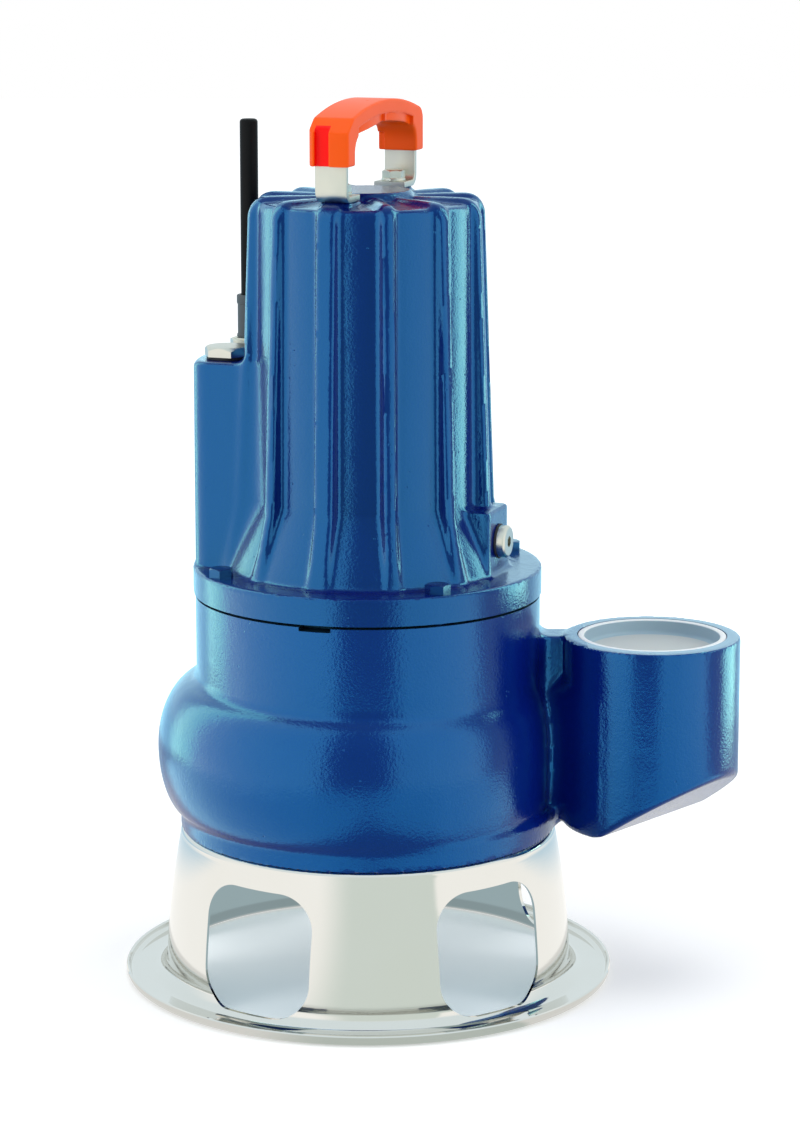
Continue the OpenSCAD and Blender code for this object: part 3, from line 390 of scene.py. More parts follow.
def rubber(name, colour, roughness, speckle=900, shine=0.35):
    """Rubber with a faint moulded grain and a paler bloom."""
    made, shader, place = finish_of(name, colour, roughness, Specular_IOR_Level=shine)
    skin = grain(place, speckle, 2.0)
    bloom = grain(place, 60, 3.0)
    paler = tuple(min(1, c * 1.5 + 0.002) for c in colour)
    feed(
        shader,
        Base_Color=shader.blend(bloom, (*colour, 1), (*paler, 1)),
        Roughness=roughness - 0.1 + 0.2 * bloom,
        Normal=raised(shader, skin, 0.00006),
    )
    return made


CABLE_RISE = [0, 12, 24, 36, 48, 60, 72, 84, 87.5]
SLEEVE_TOP = 340
GLAND_X, GLAND_Y = -68, 15.3
cable_r = 4.5
cable_end = SLEEVE_TOP + CABLE_RISE[-1]
gland_axis = Matrix.Translation(on_motor(GLAND_X, GLAND_Y, 0))
cable_black = rubber("cable_black", (0.003, 0.0035, 0.004), 0.42, shine=0.12)
cable_outline = (
    [(0, cable_end)]
    + rounding((cable_r - 1.6, cable_end - 1.6), 1.6, 90, 0, 5)
    + [(cable_r, SLEEVE_TOP + rise) for rise in CABLE_RISE[-2::-1]]
    + [(0, SLEEVE_TOP)]
)
cable = fit(
    "power_cable_jacket", turned("power_cable_jacket", cable_outline, 48, gland_axis),
    cable_black, "cable_rubber", "pump", "power_cable",
)


# Stand
# A deep-drawn bell of 1.5 mm stainless sheet with a turned-out foot ring, whose edge is
# rolled up. Five round-cornered windows let the water in. It is polished like a mirror.
class Pattern:
    """A Geometry Nodes tree with named sizes. grow() makes a plain mesh of what it builds on
    a base mesh."""

    def __init__(self, name, **sizes):
        self.tree = bpy.data.node_groups.new(name, "GeometryNodeTree")
        outside = self.tree.interface
        outside.new_socket("Geometry", in_out="OUTPUT", socket_type="NodeSocketGeometry")
        outside.new_socket("Geometry", in_out="INPUT", socket_type="NodeSocketGeometry")
        self.sizes, self.keys = sizes, {}
        for label, value in sizes.items():
            kind = "NodeSocketInt" if isinstance(value, int) else "NodeSocketFloat"
            socket = outside.new_socket(label, in_out="INPUT", socket_type=kind)
            self.keys[label] = socket.identifier
        start = self.tree.nodes.new("NodeGroupInput")
        self.base = Flow(self.tree, start.outputs["Geometry"])
        self.size = {label: Flow(self.tree, start.outputs[label]) for label in sizes}

    def grow(self, name, shape, finish, base):
        loose = shape.node("GeometryNodeRealizeInstances", Geometry=shape)
        dressed = shape.node("GeometryNodeSetMaterial", Geometry=loose, Material=finish)
        end = self.tree.nodes.new("NodeGroupOutput")
        self.tree.links.new(dressed.socket, end.inputs["Geometry"])
        seed = bpy.data.objects.new(name + "_seed", base)
        scene.collection.objects.link(seed)
        modifier = seed.modifiers.new(name, "NODES")
        modifier.node_group = self.tree
        for label, value in self.sizes.items():
            modifier[self.keys[label]] = value
        ready = bpy.context.evaluated_depsgraph_get()
        mesh = bpy.data.meshes.new_from_object(seed.evaluated_get(ready), depsgraph=ready)
        seed.modifiers.remove(modifier)
        bpy.data.objects.remove(seed)
        mesh.name = name
        return smooth(mesh)


def xyz(flow, x=0.0, y=0.0, z=0.0):
    return flow.node("ShaderNodeCombineXYZ", X=x, Y=y, Z=z)


def set_out(flow, shape, count, turn, offset=None):
    """Copies of a shape, evenly round the shaft's axis and moved out by offset first."""
    if offset is not None:
        shape = flow.node("GeometryNodeTransform", Geometry=shape, Translation=offset)
    spots = flow.node("GeometryNodeMeshLine", Count=count, Offset=(0, 0, 0))
    turns = flow.node("GeometryNodeInputIndex") * (2 * math.pi) / count + turn
    spin = flow.node("FunctionNodeEulerToRotation", Euler=xyz(flow, z=turns))
    held = {"Points": spots, "Instance": shape, "Rotation": spin}
    return flow.node("GeometryNodeInstanceOnPoints", **held)


STAND_TOP, STAND_FOOT_R, STAND_TOP_R, SHEET = 77.6, 102, 93.8, 1.5
FOOT_BEND, LIP_BEND, TOP_BEND, RING_R, LIP_TOP = 8, 4, 3, 122.9, 5.5
SCREW_RING, SCREW_TURN = 83.8, math.radians(20)


def stand_wall_r(z):
    lean = (z - SHEET - FOOT_BEND) / (STAND_TOP - SHEET - FOOT_BEND)
    return STAND_FOOT_R - (STAND_FOOT_R - STAND_TOP_R) * max(0, lean) ** 1.6


def stand_outline():
    low, high = SHEET + FOOT_BEND, STAND_TOP - TOP_BEND
    wall = [(stand_wall_r(z), z) for z in np.linspace(high, low, 40)]
    top_r, rim_r = wall[0][0], STAND_TOP_R - 19
    return (
        [(rim_r, STAND_TOP)]
        + rounding((top_r - TOP_BEND, high), TOP_BEND, 90, 6, 7)
        + wall
        + rounding((STAND_FOOT_R + FOOT_BEND, low), FOOT_BEND, 188, 270, 12)
        + rounding((RING_R - LIP_BEND, LIP_BEND), LIP_BEND - SHEET, 270, 360, 8)
        + [(RING_R - SHEET, LIP_TOP - 0.6), (RING_R - SHEET + 0.4, LIP_TOP)]
        + [(RING_R - 0.4, LIP_TOP), (RING_R, LIP_TOP - 0.6)]
        + rounding((RING_R - LIP_BEND, LIP_BEND), LIP_BEND, 360, 270, 8)
        + rounding((STAND_FOOT_R + FOOT_BEND, low), FOOT_BEND + SHEET, 270, 188, 12)
        + [(r - SHEET, z) for r, z in wall[::-1]]
        + rounding((top_r - TOP_BEND, high), TOP_BEND - SHEET, 6, 90, 7)
        + [(rim_r, STAND_TOP - SHEET)]
    )


def polished_stainless(name, colour, roughness):
    """Stainless steel: fine polishing lines round it, and a slight unevenness of the sheet."""
    made, shader, place = finish_of(name, colour, roughness, 1.0)
    lines = grain(place, 260, 2.0, stretch=(0.3, 0.3, 6))
    cloud = grain(place, 28, 3.0)
    warm = tuple(c * w for c, w in zip(colour, (0.97, 0.965, 0.94)))
    feed(
        shader,
        Base_Color=shader.blend(cloud, (*colour, 1), (*warm, 1)),
        Roughness=roughness - 0.02 + 0.05 * lines,
        Normal=raised(shader, lines, 0.000012, 0.5, raised(shader, cloud, 0.00025, 0.35)),
    )
    return made


stand_steel = polished_stainless("stand_steel", (0.80, 0.79, 0.76), 0.07)


def draw_stand():
    outline = bpy.data.meshes.new("stand_outline")
    points = stand_outline()
    outline.from_pydata([(r * MM, 0, z * MM) for r, z in points], [], [])
    pattern = Pattern(
        "stand", windows=5, width=62 * MM, height=61 * MM, corner=18 * MM, sill=4 * MM,
        turn=math.radians(38.25 - 90), screws=4, screw_turn=SCREW_TURN,
        screw_ring=SCREW_RING * MM, steps=360,
    )
    flow, size = pattern.base, pattern.size

    # The outline's points, carried round the axis by a grid with one row for each step.
    count = len(points)
    grid = flow.node("GeometryNodeMeshGrid", Size_X=1.0, Size_Y=1.0, Vertices_Y=count + 1)
    flow.tree.links.new((size["steps"] + 1).socket, grid.socket.node.inputs["Vertices X"])
    place = flow.node("ShaderNodeSeparateXYZ", Vector=flow.node("GeometryNodeInputPosition"))
    row = (place.out("Y") + 0.5) * count
    row = row.math("MODULO", row.math("ROUND", row), float(count))
    turn = (place.out("X") + 0.5) * (2 * math.pi)
    spot = flow.node(
        "GeometryNodeSampleIndex", {"data_type": "FLOAT_VECTOR", "domain": "POINT"},
        Geometry=flow, Value=flow.node("GeometryNodeInputPosition"), Index=row,
    )
    spot = flow.node("ShaderNodeSeparateXYZ", Vector=spot)
    radius = spot.out("X")
    east, north = radius * turn.math("COSINE", turn), radius * turn.math("SINE", turn)
    where = xyz(flow, east, north, spot.out("Z"))
    bell = flow.node("GeometryNodeSetPosition", Geometry=grid, Position=where)
    bell = flow.node("GeometryNodeMergeByDistance", Geometry=bell, Distance=1e-6)

    # Punches: a round-cornered plate for each window and a short pin for each screw.
    edge = flow.node(
        "GeometryNodeCurvePrimitiveQuadrilateral", Width=size["width"], Height=size["height"]
    )
    edge = flow.node(
        "GeometryNodeFilletCurve", {"mode": "POLY"}, Curve=edge, Radius=size["corner"], Count=16
    )
    plate = flow.node("GeometryNodeFillCurve", Curve=edge)
    deep = {"Offset_Scale": 40 * MM, "Individual": False}
    block = flow.node("GeometryNodeExtrudeMesh", Mesh=plate, **deep)
    back = flow.node("GeometryNodeFlipFaces", Mesh=plate)
    block = flow.node("GeometryNodeJoinGeometry", Geometry=block)
    flow.tree.links.new(back.socket, block.socket.node.inputs[0])
    block = flow.node("GeometryNodeMergeByDistance", Geometry=block, Distance=1e-6)
    upright = (math.pi / 2, 0, math.pi / 2)
    middle = xyz(flow, (STAND_TOP_R - 25) * MM, 0.0, size["sill"] + size["height"] / 2)
    placed = {"Rotation": upright, "Translation": middle}
    block = flow.node("GeometryNodeTransform", Geometry=block, **placed)
    windows = set_out(flow, block, size["windows"], size["turn"])
    pin = flow.node("GeometryNodeMeshCylinder", Vertices=32, Radius=3.3 * MM, Depth=9 * MM)
    out = xyz(flow, size["screw_ring"], 0.0, STAND_TOP * MM)
    holes = set_out(flow, pin, size["screws"], size["screw_turn"], out)
    punches = flow.node("GeometryNodeJoinGeometry", Geometry=windows)
    flow.tree.links.new(holes.socket, punches.socket.node.inputs[0])
    punches = flow.node("GeometryNodeRealizeInstances", Geometry=punches)
    shape = flow.node(
        "GeometryNodeMeshBoolean", {"operation": "DIFFERENCE", "solver": "MANIFOLD"},
        Mesh_1=bell, Mesh_2=punches,
    )
    return pattern.grow("stand_bell", shape, stand_steel, outline)


fit("stand_bell", draw_stand(), stand_steel, "stainless_sheet", "pump", "stand")


# Stand screws
# Four M6 socket screws of stainless steel hold the stand's inturned top under the casing.
def corner_r(across):
    """Radius to the corners of a hexagon, from its width across the flats."""
    return across / (2 * math.cos(math.pi / 6))


def bolt_blank(across, height, thread, length):
    """A hexagon bolt before its flats are cut: a bevelled turned head, and its thread."""
    corner = corner_r(across)
    rim, drop = 0.82 * corner, 0.12 * corner
    head = [(0, height), (rim - 0.4, height), (rim, height - 0.08)]
    head += [(corner + 0.1, height - drop), (corner + 0.1, 0), (thread, 0)]
    stem = [(thread, -length + 0.6), (thread - 0.6, -length), (0, -length)]
    return turned("bolt_blank", head + stem, 64)


def hex_heads(name, finish, across, blank, count, turn, spot, socket=None, face=None):
    """Turned blanks with hexagon flats, set out round the shaft's axis. A socket is the width,
    the depth and the top of a key's hole, and face turns the piece over before it is set out."""
    pattern = Pattern(name, across=across * MM, count=count, turn=turn)
    flow, size = pattern.base, pattern.size
    flats = {"Vertices": 6, "Radius": corner_r(size["across"]), "Depth": 80 * MM}
    flats = flow.node("GeometryNodeMeshCylinder", **flats)
    head = flow.node("GeometryNodeMeshBoolean", {"operation": "INTERSECT", "solver": "MANIFOLD"})
    for shape in (flats, flow):
        flow.tree.links.new(shape.socket, head.socket.node.inputs["Mesh 2"])
    if socket:
        width, deep, top = (v * MM for v in socket)
        key = {"Vertices": 6, "Radius": corner_r(width), "Depth": 2 * deep}
        key = flow.node("GeometryNodeMeshCylinder", **key)
        key = flow.node("GeometryNodeTransform", Geometry=key, Translation=(0, 0, top))
        cut = {"operation": "DIFFERENCE", "solver": "MANIFOLD"}
        head = flow.node("GeometryNodeMeshBoolean", cut, Mesh_1=head, Mesh_2=key)
    if face:
        head = flow.node("GeometryNodeTransform", Geometry=head, Rotation=face)
    copies = set_out(flow, head, size["count"], size["turn"], tuple(v * MM for v in spot))
    return pattern.grow(name, copies, finish, blank)


screw_steel = polished_stainless("screw_steel", (0.66, 0.66, 0.64), 0.22)
screw_outline = [(0, 4), (4.6, 4), (5.0, 3.85), (5.2, 3.5), (5.2, 0), (2.9, 0)]
screw_outline += [(2.9, -5.4), (2.4, -6), (0, -6)]
screws = hex_heads(
    "stand_screws", screw_steel, 20, turned("screw_blank", screw_outline, 48), 4, SCREW_TURN,
    (SCREW_RING, 0, STAND_TOP - SHEET), socket=(4, 2.4, 4), face=(math.pi, 0, 0),
)
fit("stand_socket_screws", screws, screw_steel, "stainless_fastener", "pump", "stand_screws")


# Pump casing
# One grey-iron sand casting: barrel, spiral, duct and outlet boss run into each other with
# cast fillets. Its faces, bores and threads are machined, and the outside is enamelled.
def soft_min(a, b, fillet):
    """The union of two distances, with a fillet of about that radius in the corner."""
    h = np.clip(0.5 + 0.5 * (b - a) / fillet, 0, 1)
    return b + (a - b) * h - fillet * h * (1 - h)


def soft_max(a, b, edge):
    """The common part of two distances, with its edge rounded to about that radius."""
    return -soft_min(-a, -b, edge)


def oval_gap(across, up, half_w, half_h):
    """Distance to an oval, given from its middle."""
    near = np.hypot(across / half_w, up / half_h) + 1e-6
    steep = np.hypot(across / half_w**2, up / half_h**2) + 1e-6
    return near * (near - 1) / steep


CORNERS = [(i, j, k) for i in (0, 1) for j in (0, 1) for k in (0, 1)]
PAIRS = [(a, b) for a in range(8) for b in range(a + 1, 8)]
EDGES = [(a, b) for a, b in PAIRS if sum(x != y for x, y in zip(CORNERS[a], CORNERS[b])) == 1]


def cast_skin(field, low, high, pitch):
    """The skin where field(x, y, z) is 0, as points and four-cornered faces. The field is
    negative in the metal. Each grid cell that the skin crosses gets one point, which is
    then drawn onto the skin itself."""
    axes = [np.arange(a, b + pitch, pitch) for a, b in zip(low, high)]
    x, y, z = np.ix_(*axes)
    slabs = [field(x[i : i + 24], y, z) for i in range(0, len(x), 24)]
    value = np.concatenate(slabs).astype(np.float32)
    inside = value < 0
    nx, ny, nz = (n - 1 for n in value.shape)
    near = [inside[i : nx + i, j : ny + j, k : nz + k] for i, j, k in CORNERS]
    mixed = np.logical_or.reduce(near) & ~np.logical_and.reduce(near)
    cell = np.argwhere(mixed)
    number = np.full(mixed.shape, -1, np.int64)
    number[mixed] = np.arange(len(cell))
    at = [value[tuple((cell + c).T)] for c in CORNERS]
    total, crossings = np.zeros((len(cell), 3)), np.zeros(len(cell))
    for a, b in EDGES:
        crossed = (at[a] < 0) != (at[b] < 0)
        share = np.where(crossed, at[a] / np.where(crossed, at[a] - at[b], 1), 0)[:, None]
        spot = np.array(CORNERS[a]) * (1 - share) + np.array(CORNERS[b]) * share
        total += spot * crossed[:, None]
        crossings += crossed
    point = (cell + total / crossings[:, None]) * pitch + np.array(low)

    step = 0.04
    for _ in range(5):
        ways = step * np.eye(3)
        rise = [field(*(point + way).T) - field(*(point - way).T) for way in ways]
        slope = np.stack(rise, 1) / (2 * step)
        move = field(*point.T) / np.maximum((slope**2).sum(1), 0.05)
        point -= slope * np.clip(move, -0.4 * pitch, 0.4 * pitch)[:, None]

    faces = []
    for axis in range(3):
        near = np.moveaxis(inside, axis, 0)
        index = np.moveaxis(number, axis, 0)
        change = near[:-1, 1:-1, 1:-1] != near[1:, 1:-1, 1:-1]
        i, j, k = np.nonzero(change)
        ring = ((0, 0), (1, 0), (1, 1), (0, 1))
        quad = np.stack([index[i, j + dj, k + dk] for dj, dk in ring], 1)
        turned_round = near[:-1, 1:-1, 1:-1][i, j, k] == (axis != 1)
        quad[~turned_round] = quad[~turned_round][:, ::-1]
        faces.append(quad)
    return point, np.concatenate(faces)


def machined(name, mesh, tools, place=Matrix.Identity(4), sharp_from=38):
    """A closed mesh less a list of tools, all in millimetres, brought to its place in metres."""
    blank = bpy.data.objects.new(name + "_blank", mesh)
    scene.collection.objects.link(blank)
    used = [blank]
    for k, tool in enumerate(tools):
        cutter = bpy.data.objects.new(f"{name}_tool_{k}", tool)
        scene.collection.objects.link(cutter)
        cut = blank.modifiers.new(f"cut_{k}", "BOOLEAN")
        cut.operation, cut.solver, cut.object = "DIFFERENCE", "MANIFOLD", cutter
        used.append(cutter)
    ready = bpy.context.evaluated_depsgraph_get()
    made = bpy.data.meshes.new_from_object(blank.evaluated_get(ready), depsgraph=ready)
    for o in used:
        bpy.data.objects.remove(o)
    made.transform(place @ Matrix.Scale(MM, 4))
    made.name = name
    return smooth(made, sharp_from)


def casting(name, field, low, high, pitch, tools, place=Matrix.Identity(4)):
    """A casting from its field, machined with a list of tools: closed meshes in millimetres."""
    point, faces = cast_skin(field, low, high, pitch)
    mesh = bpy.data.meshes.new(name)
    mesh.from_pydata(point.tolist(), [], faces.tolist())
    return machined(name, mesh, tools, place)


def tool_turned(outline, sides=160, at=(0, 0), tilt=Matrix.Identity(4), ring=False):
    """A turned tool in millimetres, at a place in plan."""
    mesh = turned("tool", outline, sides, ring=ring)
    mesh.transform(Matrix.Translation((*at, 0)) @ tilt @ Matrix.Scale(1 / MM, 4))
    return mesh


def tool_block(low, high, turn=0.0):
    """A straight-sided tool between two corners in millimetres, turned in degrees in plan."""
    mesh = bmesh.new()
    bmesh.ops.create_cube(mesh, size=1)
    middle = [(a + b) / 2 for a, b in zip(low, high)]
    size = [b - a for a, b in zip(low, high)]
    place = Matrix.Translation(middle) @ Matrix.Diagonal((*size, 1))
    return plain_mesh("tool", mesh, Matrix.Rotation(math.radians(turn), 4, "Z") @ place)


def pins(radius, low, high, spots, sides=32):
    """Round tools of one size at several places in plan."""
    outline = [(0, high), (radius, high), (radius, low), (0, low)]
    return [tool_turned(outline, sides, spot) for spot in spots]


def loft(name, rings):
    """A closed shape through rings of as many points each, with flat ends."""
    mesh = bmesh.new()
    rings = [[mesh.verts.new(spot) for spot in ring] for ring in rings]
    for a, b in zip(rings, rings[1:]):
        for k in range(len(a)):
            n = (k + 1) % len(a)
            mesh.faces.new((a[k], a[n], b[n], b[k]))
    mesh.faces.new(rings[0][::-1])
    mesh.faces.new(rings[-1])
    return plain_mesh(name, mesh)


def round_spots(radius, first, count):
    turns = [math.radians(first + 360 * k / count) for k in range(count)]
    return [(radius * math.cos(t), radius * math.sin(t)) for t in turns]


CASE_LOW, SEAM = 77.6, 196.9
BARREL_R, RIM_R, RIM_H, SPIRAL_R, SPIRAL_GROWTH = 85.8, 94.3, 12, 91.1, 28.9
SPIRAL_Z, SPIRAL_DOWN, WALL, FLOOR_T = 118, 32, 6.5, 9
OUTLET, OUTLET_R, OUTLET_TOP, OUTLET_LOW = (141.4, -10), 43.8, 175.9, 79.7
POCKET_R, PASSAGE_R, PORT_R, PORT_DEEP = 70, 26, 36.113, 21
CHAMBER_DOWN = SPIRAL_Z - CASE_LOW - FLOOR_T - 0.4
BOLT_RING, SLOT_BEARING, DUCT_TURN = 79, -106.8, math.radians(-40)


def spiral_gap(x, y, z):
    """Distance to the spiral, whose radius grows clockwise from the outlet."""
    radius = np.hypot(x, y)
    share = (-np.arctan2(y, x) / (2 * np.pi)) % 1
    widest = SPIRAL_R + SPIRAL_GROWTH * share
    high_base, low_base = BARREL_R - 1.5, np.minimum(RIM_R - 1.5, widest - 2)
    beyond, up = np.maximum(radius - high_base, 0), z - SPIRAL_Z
    above = oval_gap(beyond, up, np.maximum(widest - high_base, 2), 30 + 10 * share)
    beyond = np.maximum(radius - low_base, 0)
    below = oval_gap(beyond, up, widest - low_base, SPIRAL_DOWN)
    return np.where(up > 0, above, below)


def along_duct(x, y):
    """Plan place along the duct towards the outlet, and across it."""
    c, s = math.cos(DUCT_TURN), math.sin(DUCT_TURN)
    dx, dy = x - OUTLET[0], y - OUTLET[1]
    return dx * c + dy * s, dy * c - dx * s


def casing_field(x, y, z):
    radius = np.hypot(x, y)
    barrel = np.maximum(radius - BARREL_R, z - SEAM - 1)
    rim = soft_max(radius - RIM_R, z - (CASE_LOW + RIM_H), 2.5)
    body = soft_min(barrel, spiral_gap(x, y, z), 4)
    body = soft_min(body, rim, 1.2)

    length, across = along_duct(x, y)
    share = np.clip((length + 90) / 90, 0, 1)
    half_w, half_h = 32.5 + 9.8 * share, 32.5 + 5.5 * np.clip((length + 90) / 48, 0, 1)
    power = 2 + 6 * share**2
    aside, up = np.abs(across) / half_w, np.abs(z - SPIRAL_Z) / half_h
    duct = (aside**power + up**power) ** (1 / power) - 1
    duct = soft_max(duct * half_w, soft_max(-98 - length, length, 3), 4)
    boss = np.hypot(x - OUTLET[0], y - OUTLET[1]) - OUTLET_R
    web = soft_max(np.abs(y) - 10, soft_max(77 - x, x - 120, 3), 2)
    web = soft_max(web, z - OUTLET_TOP + 1.2, 2)
    elbow = soft_min(soft_min(soft_max(boss, z - OUTLET_TOP, 1.8), duct, 4), web, 2)
    elbow = np.maximum(elbow, z - OUTLET_TOP)
    slope = math.radians(34.4)
    underside = (OUTLET_LOW - z) * math.cos(slope) + length * math.sin(slope)
    elbow = soft_max(elbow, soft_max(underside, OUTLET_LOW - z, 3), 2.2)
    whole = soft_min(body, elbow, 6)
    return soft_max(whole, CASE_LOW - z, 1.0)


def spiral_tool():
    """The chamber's core: rings of the spiral from a little past its start, closed at both ends."""
    rings = []
    for share in np.linspace(3 / 36, 1, 100):
        turn = -2 * math.pi * share
        widest = SPIRAL_R + SPIRAL_GROWTH * share - WALL
        high, low = 30 + 10 * share - WALL, CHAMBER_DOWN
        oval = [(POCKET_R - 22, SPIRAL_Z + high)]
        for q in np.radians(np.linspace(90, -90, 25)):
            base, height = (POCKET_R - 4, high) if q > 0 else (RIM_R - WALL - 4, low)
            oval.append((base + (widest - base) * math.cos(q), SPIRAL_Z + height * math.sin(q)))
        oval.append((POCKET_R - 22, SPIRAL_Z - low))
        rings.append([(r * math.cos(turn), r * math.sin(turn), z) for r, z in oval])
    return loft("tool", rings)


def bored(*steps):
    """A turned tool open at both ends: each step is its radius, its top and its foot."""
    outline = [(0, steps[0][1])]
    for radius, high, low in steps:
        outline += [(radius, high), (radius, low)]
    return outline + [(0, steps[-1][2])]


def casing_tools():
    """Seam and slot, the chamber, the motor's spigot, the inlet, the outlet's passage and
    thread, and the holes of both sets of screws."""
    lay_down = Matrix.Rotation(DUCT_TURN, 4, "Z") @ Matrix.Rotation(math.pi / 2, 4, "Y")
    lay_down = Matrix.Translation((0, 0, SPIRAL_Z)) @ lay_down
    port_low, port_mouth = OUTLET_TOP - PORT_DEEP, PORT_R + 1.1
    bend = [(0, OUTLET_TOP + 4), (port_mouth, OUTLET_TOP + 4), (port_mouth, OUTLET_TOP - 2)]
    bend += [(PORT_R, OUTLET_TOP - 2.2)]
    bend += [(PORT_R + (0.7 if k % 2 else 0.0), OUTLET_TOP - 2.6 - 1.15 * k) for k in range(15)]
    bend += [(PORT_R, port_low), (PORT_R - 3, port_low), (PASSAGE_R, SPIRAL_Z)]
    bend += rounding((0, SPIRAL_Z), PASSAGE_R, 0, -90, 14)[1:-1] + [(0, SPIRAL_Z - PASSAGE_R)]
    seam_in, seam_low, floor_top = BARREL_R - 5, SEAM - 1.5, CASE_LOW + FLOOR_T
    seam = [(seam_in, SEAM + 2), (99, SEAM + 2), (99, seam_low), (seam_in, seam_low)]
    inlet = [(0, CASE_LOW + 12), (32.5, CASE_LOW + 12), (32.5, CASE_LOW + 1.2)]
    inlet += [(33.7, CASE_LOW - 0.5), (33.7, CASE_LOW - 2), (0, CASE_LOW - 2)]
    slot = (BARREL_R - 9, -8, SEAM - 3.4), (BARREL_R + 8, 8, SEAM + 3)
    return [
        tool_turned(bored((99, SEAM + 9, SEAM - 0.02))),
        tool_turned(seam, ring=True),
        spiral_tool(),
        tool_turned(bored((POCKET_R - 6, SEAM + 3, floor_top))),
        tool_turned(bored((73.43, SEAM + 3, SEAM - 10), (POCKET_R, SEAM - 10, SPIRAL_Z + 20))),
        tool_turned(inlet),
        tool_turned(bored((PASSAGE_R - 0.05, 0, -110)), 96, OUTLET, lay_down),
        tool_turned(bend, 160, OUTLET),
        tool_block(*slot, SLOT_BEARING),
        *pins(4, SEAM - 17, SEAM + 13, round_spots(BOLT_RING, 45 + math.degrees(MOTOR_TURN), 4)),
        *pins(3, CASE_LOW - 1, CASE_LOW + 7, round_spots(SCREW_RING, math.degrees(SCREW_TURN), 4)),
    ]


def enamel(name, colour, deep, roughness=0.15, sand=1.0, masks=None):
    """Glossy blue enamel on a rough casting: the sand grain shows through it as orange peel, and it
    is darker where it ran thick. masks(place) gives two masks: a gap, painted near black as painted
    shade, and a machined face, smoother, painted pale blue as a painted highlight."""
    made, shader, place = finish_of(
        name, colour, roughness, Specular_IOR_Level=0.75, Specular_Tint=(0.10, 0.52, 0.90, 1),
    )
    peel = grain(place, 760, 2.0)
    sand_grain = grain(place, 1600, 2.0, 0.6)
    wave = grain(place, 75, 2.0)
    cloud = grain(place, 16, 4.0, 0.6)
    pores = place.node("ShaderNodeTexVoronoi", {"feature": "F1"}, Vector=place, Scale=210.0)
    pits = band(pores, -1.0, 0.10, 0.05) * (grain(place, 60, 1.0) > 0.62)
    tint = shader.blend(cloud, (*colour, 1), (*deep, 1))
    rough = roughness - 0.04 + 0.1 * cloud
    if masks:
        gap, face = masks(place)
        # Painted shade: the gap is coloured near black. Painted highlight: the machined face is
        # coloured pale blue; its smoother grain is real.
        tint = shader.blend(gap, tint, (0.004, 0.005, 0.008, 1))
        tint = shader.blend(face, tint, (0.25, 0.33, 0.42, 1))
        rough = rough + 0.5 * gap + 0.2 * face
        sand = sand - 0.8 * face
    bump = raised(shader, wave, 0.0004 * sand, 0.5)
    bump = raised(shader, peel, 0.00015 * sand, 0.8, bump)
    bump = raised(shader, sand_grain, 0.00005 * sand, 0.7, bump)
    bump = raised(shader, 1 - pits, 0.0003 * sand, 0.5, bump)
    feed(shader, Base_Color=tint, Roughness=rough, Normal=bump)
    return made


def casing_masks(place):
    """1 in the gap under the motor's flange and its slot, where shade is painted, and 1 on the
    outlet's turned face, where a highlight is painted.
    """
    spot = place.node("ShaderNodeSeparateXYZ", Vector=place)
    gap = band(spot.out("Z"), (SEAM - 4) * MM, (SEAM + 1) * MM, 0.0001)
    face = (spot.out("Z") > (OUTLET_TOP - 0.35) * MM) * (spot.out("X") > 0.108)
    return (plan_radius(place) < (BARREL_R - 0.45) * MM) * gap, face


casing_enamel = enamel(
    "casing_enamel", (0.001, 0.010, 0.155), (0.001, 0.007, 0.125), masks=casing_masks
)
casing_mesh = casting(
    "casing", casing_field, (-126, -106, 74), (188, 128, 200), 1.5, casing_tools()
)
casing = fit("casing", casing_mesh, casing_enamel, "enamelled_iron", "pump", "volute_casing")
glossy_pieces.objects.link(casing)


# Transit plug
# A moulded cap of pale grey plastic, screwed into the outlet for transport: its rim lies
# flush with the outlet's face and its middle is a shallow cup.
def moulded(name, colour, roughness, speck=1500, deep=0.00002, shine=0.5, local=None):
    """Moulded plastic: a satin skin with faint flow marks and a touch of depth in its colour.
    local(place, tint) paints light and shade onto the colour in places."""
    made, shader, place = finish_of(
        name, colour, roughness,
        Specular_IOR_Level=shine, Subsurface_Weight=0.06, Subsurface_Scale=0.004,
    )
    skin = grain(place, speck, 2.0)
    flow = grain(place, 22, 3.0, 0.55)
    shade = tuple(c * 0.9 for c in colour)
    tint = shader.blend(flow, (*colour, 1), (*shade, 1))
    feed(
        shader,
        Base_Color=local(place, tint) if local else tint,
        Roughness=roughness - 0.05 + 0.1 * flow,
        Normal=raised(shader, skin, deep, 0.6, raised(shader, flow, 0.0006, 0.2)),
    )
    return made


PLUG_RIM_R, PLUG_CUP_R, PLUG_CUP_DEEP, PLUG_LOW = 36.913, 33.6, 7, 16


def cup_shades(place, tint):
    """Painted light on the plug: its rim is painted paler than its middle, and the wall of its cup
    is painted in a cool shade.
    """
    middle = (OUTLET[0] * MM, OUTLET[1] * MM, 0)
    off = place.node("ShaderNodeVectorMath", {"operation": "SUBTRACT"}, _0=place, _1=middle)
    radius = plan_radius(off)
    # Painted shade on the cup's wall, and a rim painted paler.
    wall = band(radius, (PLUG_CUP_R - 2.4) * MM, (PLUG_CUP_R + 0.2) * MM, 0.0002)
    tint = place.blend(wall, tint, (0.36, 0.50, 0.58, 1))
    return place.blend(radius > (PLUG_CUP_R + 0.2) * MM, tint, (0.84, 0.88, 0.89, 1))


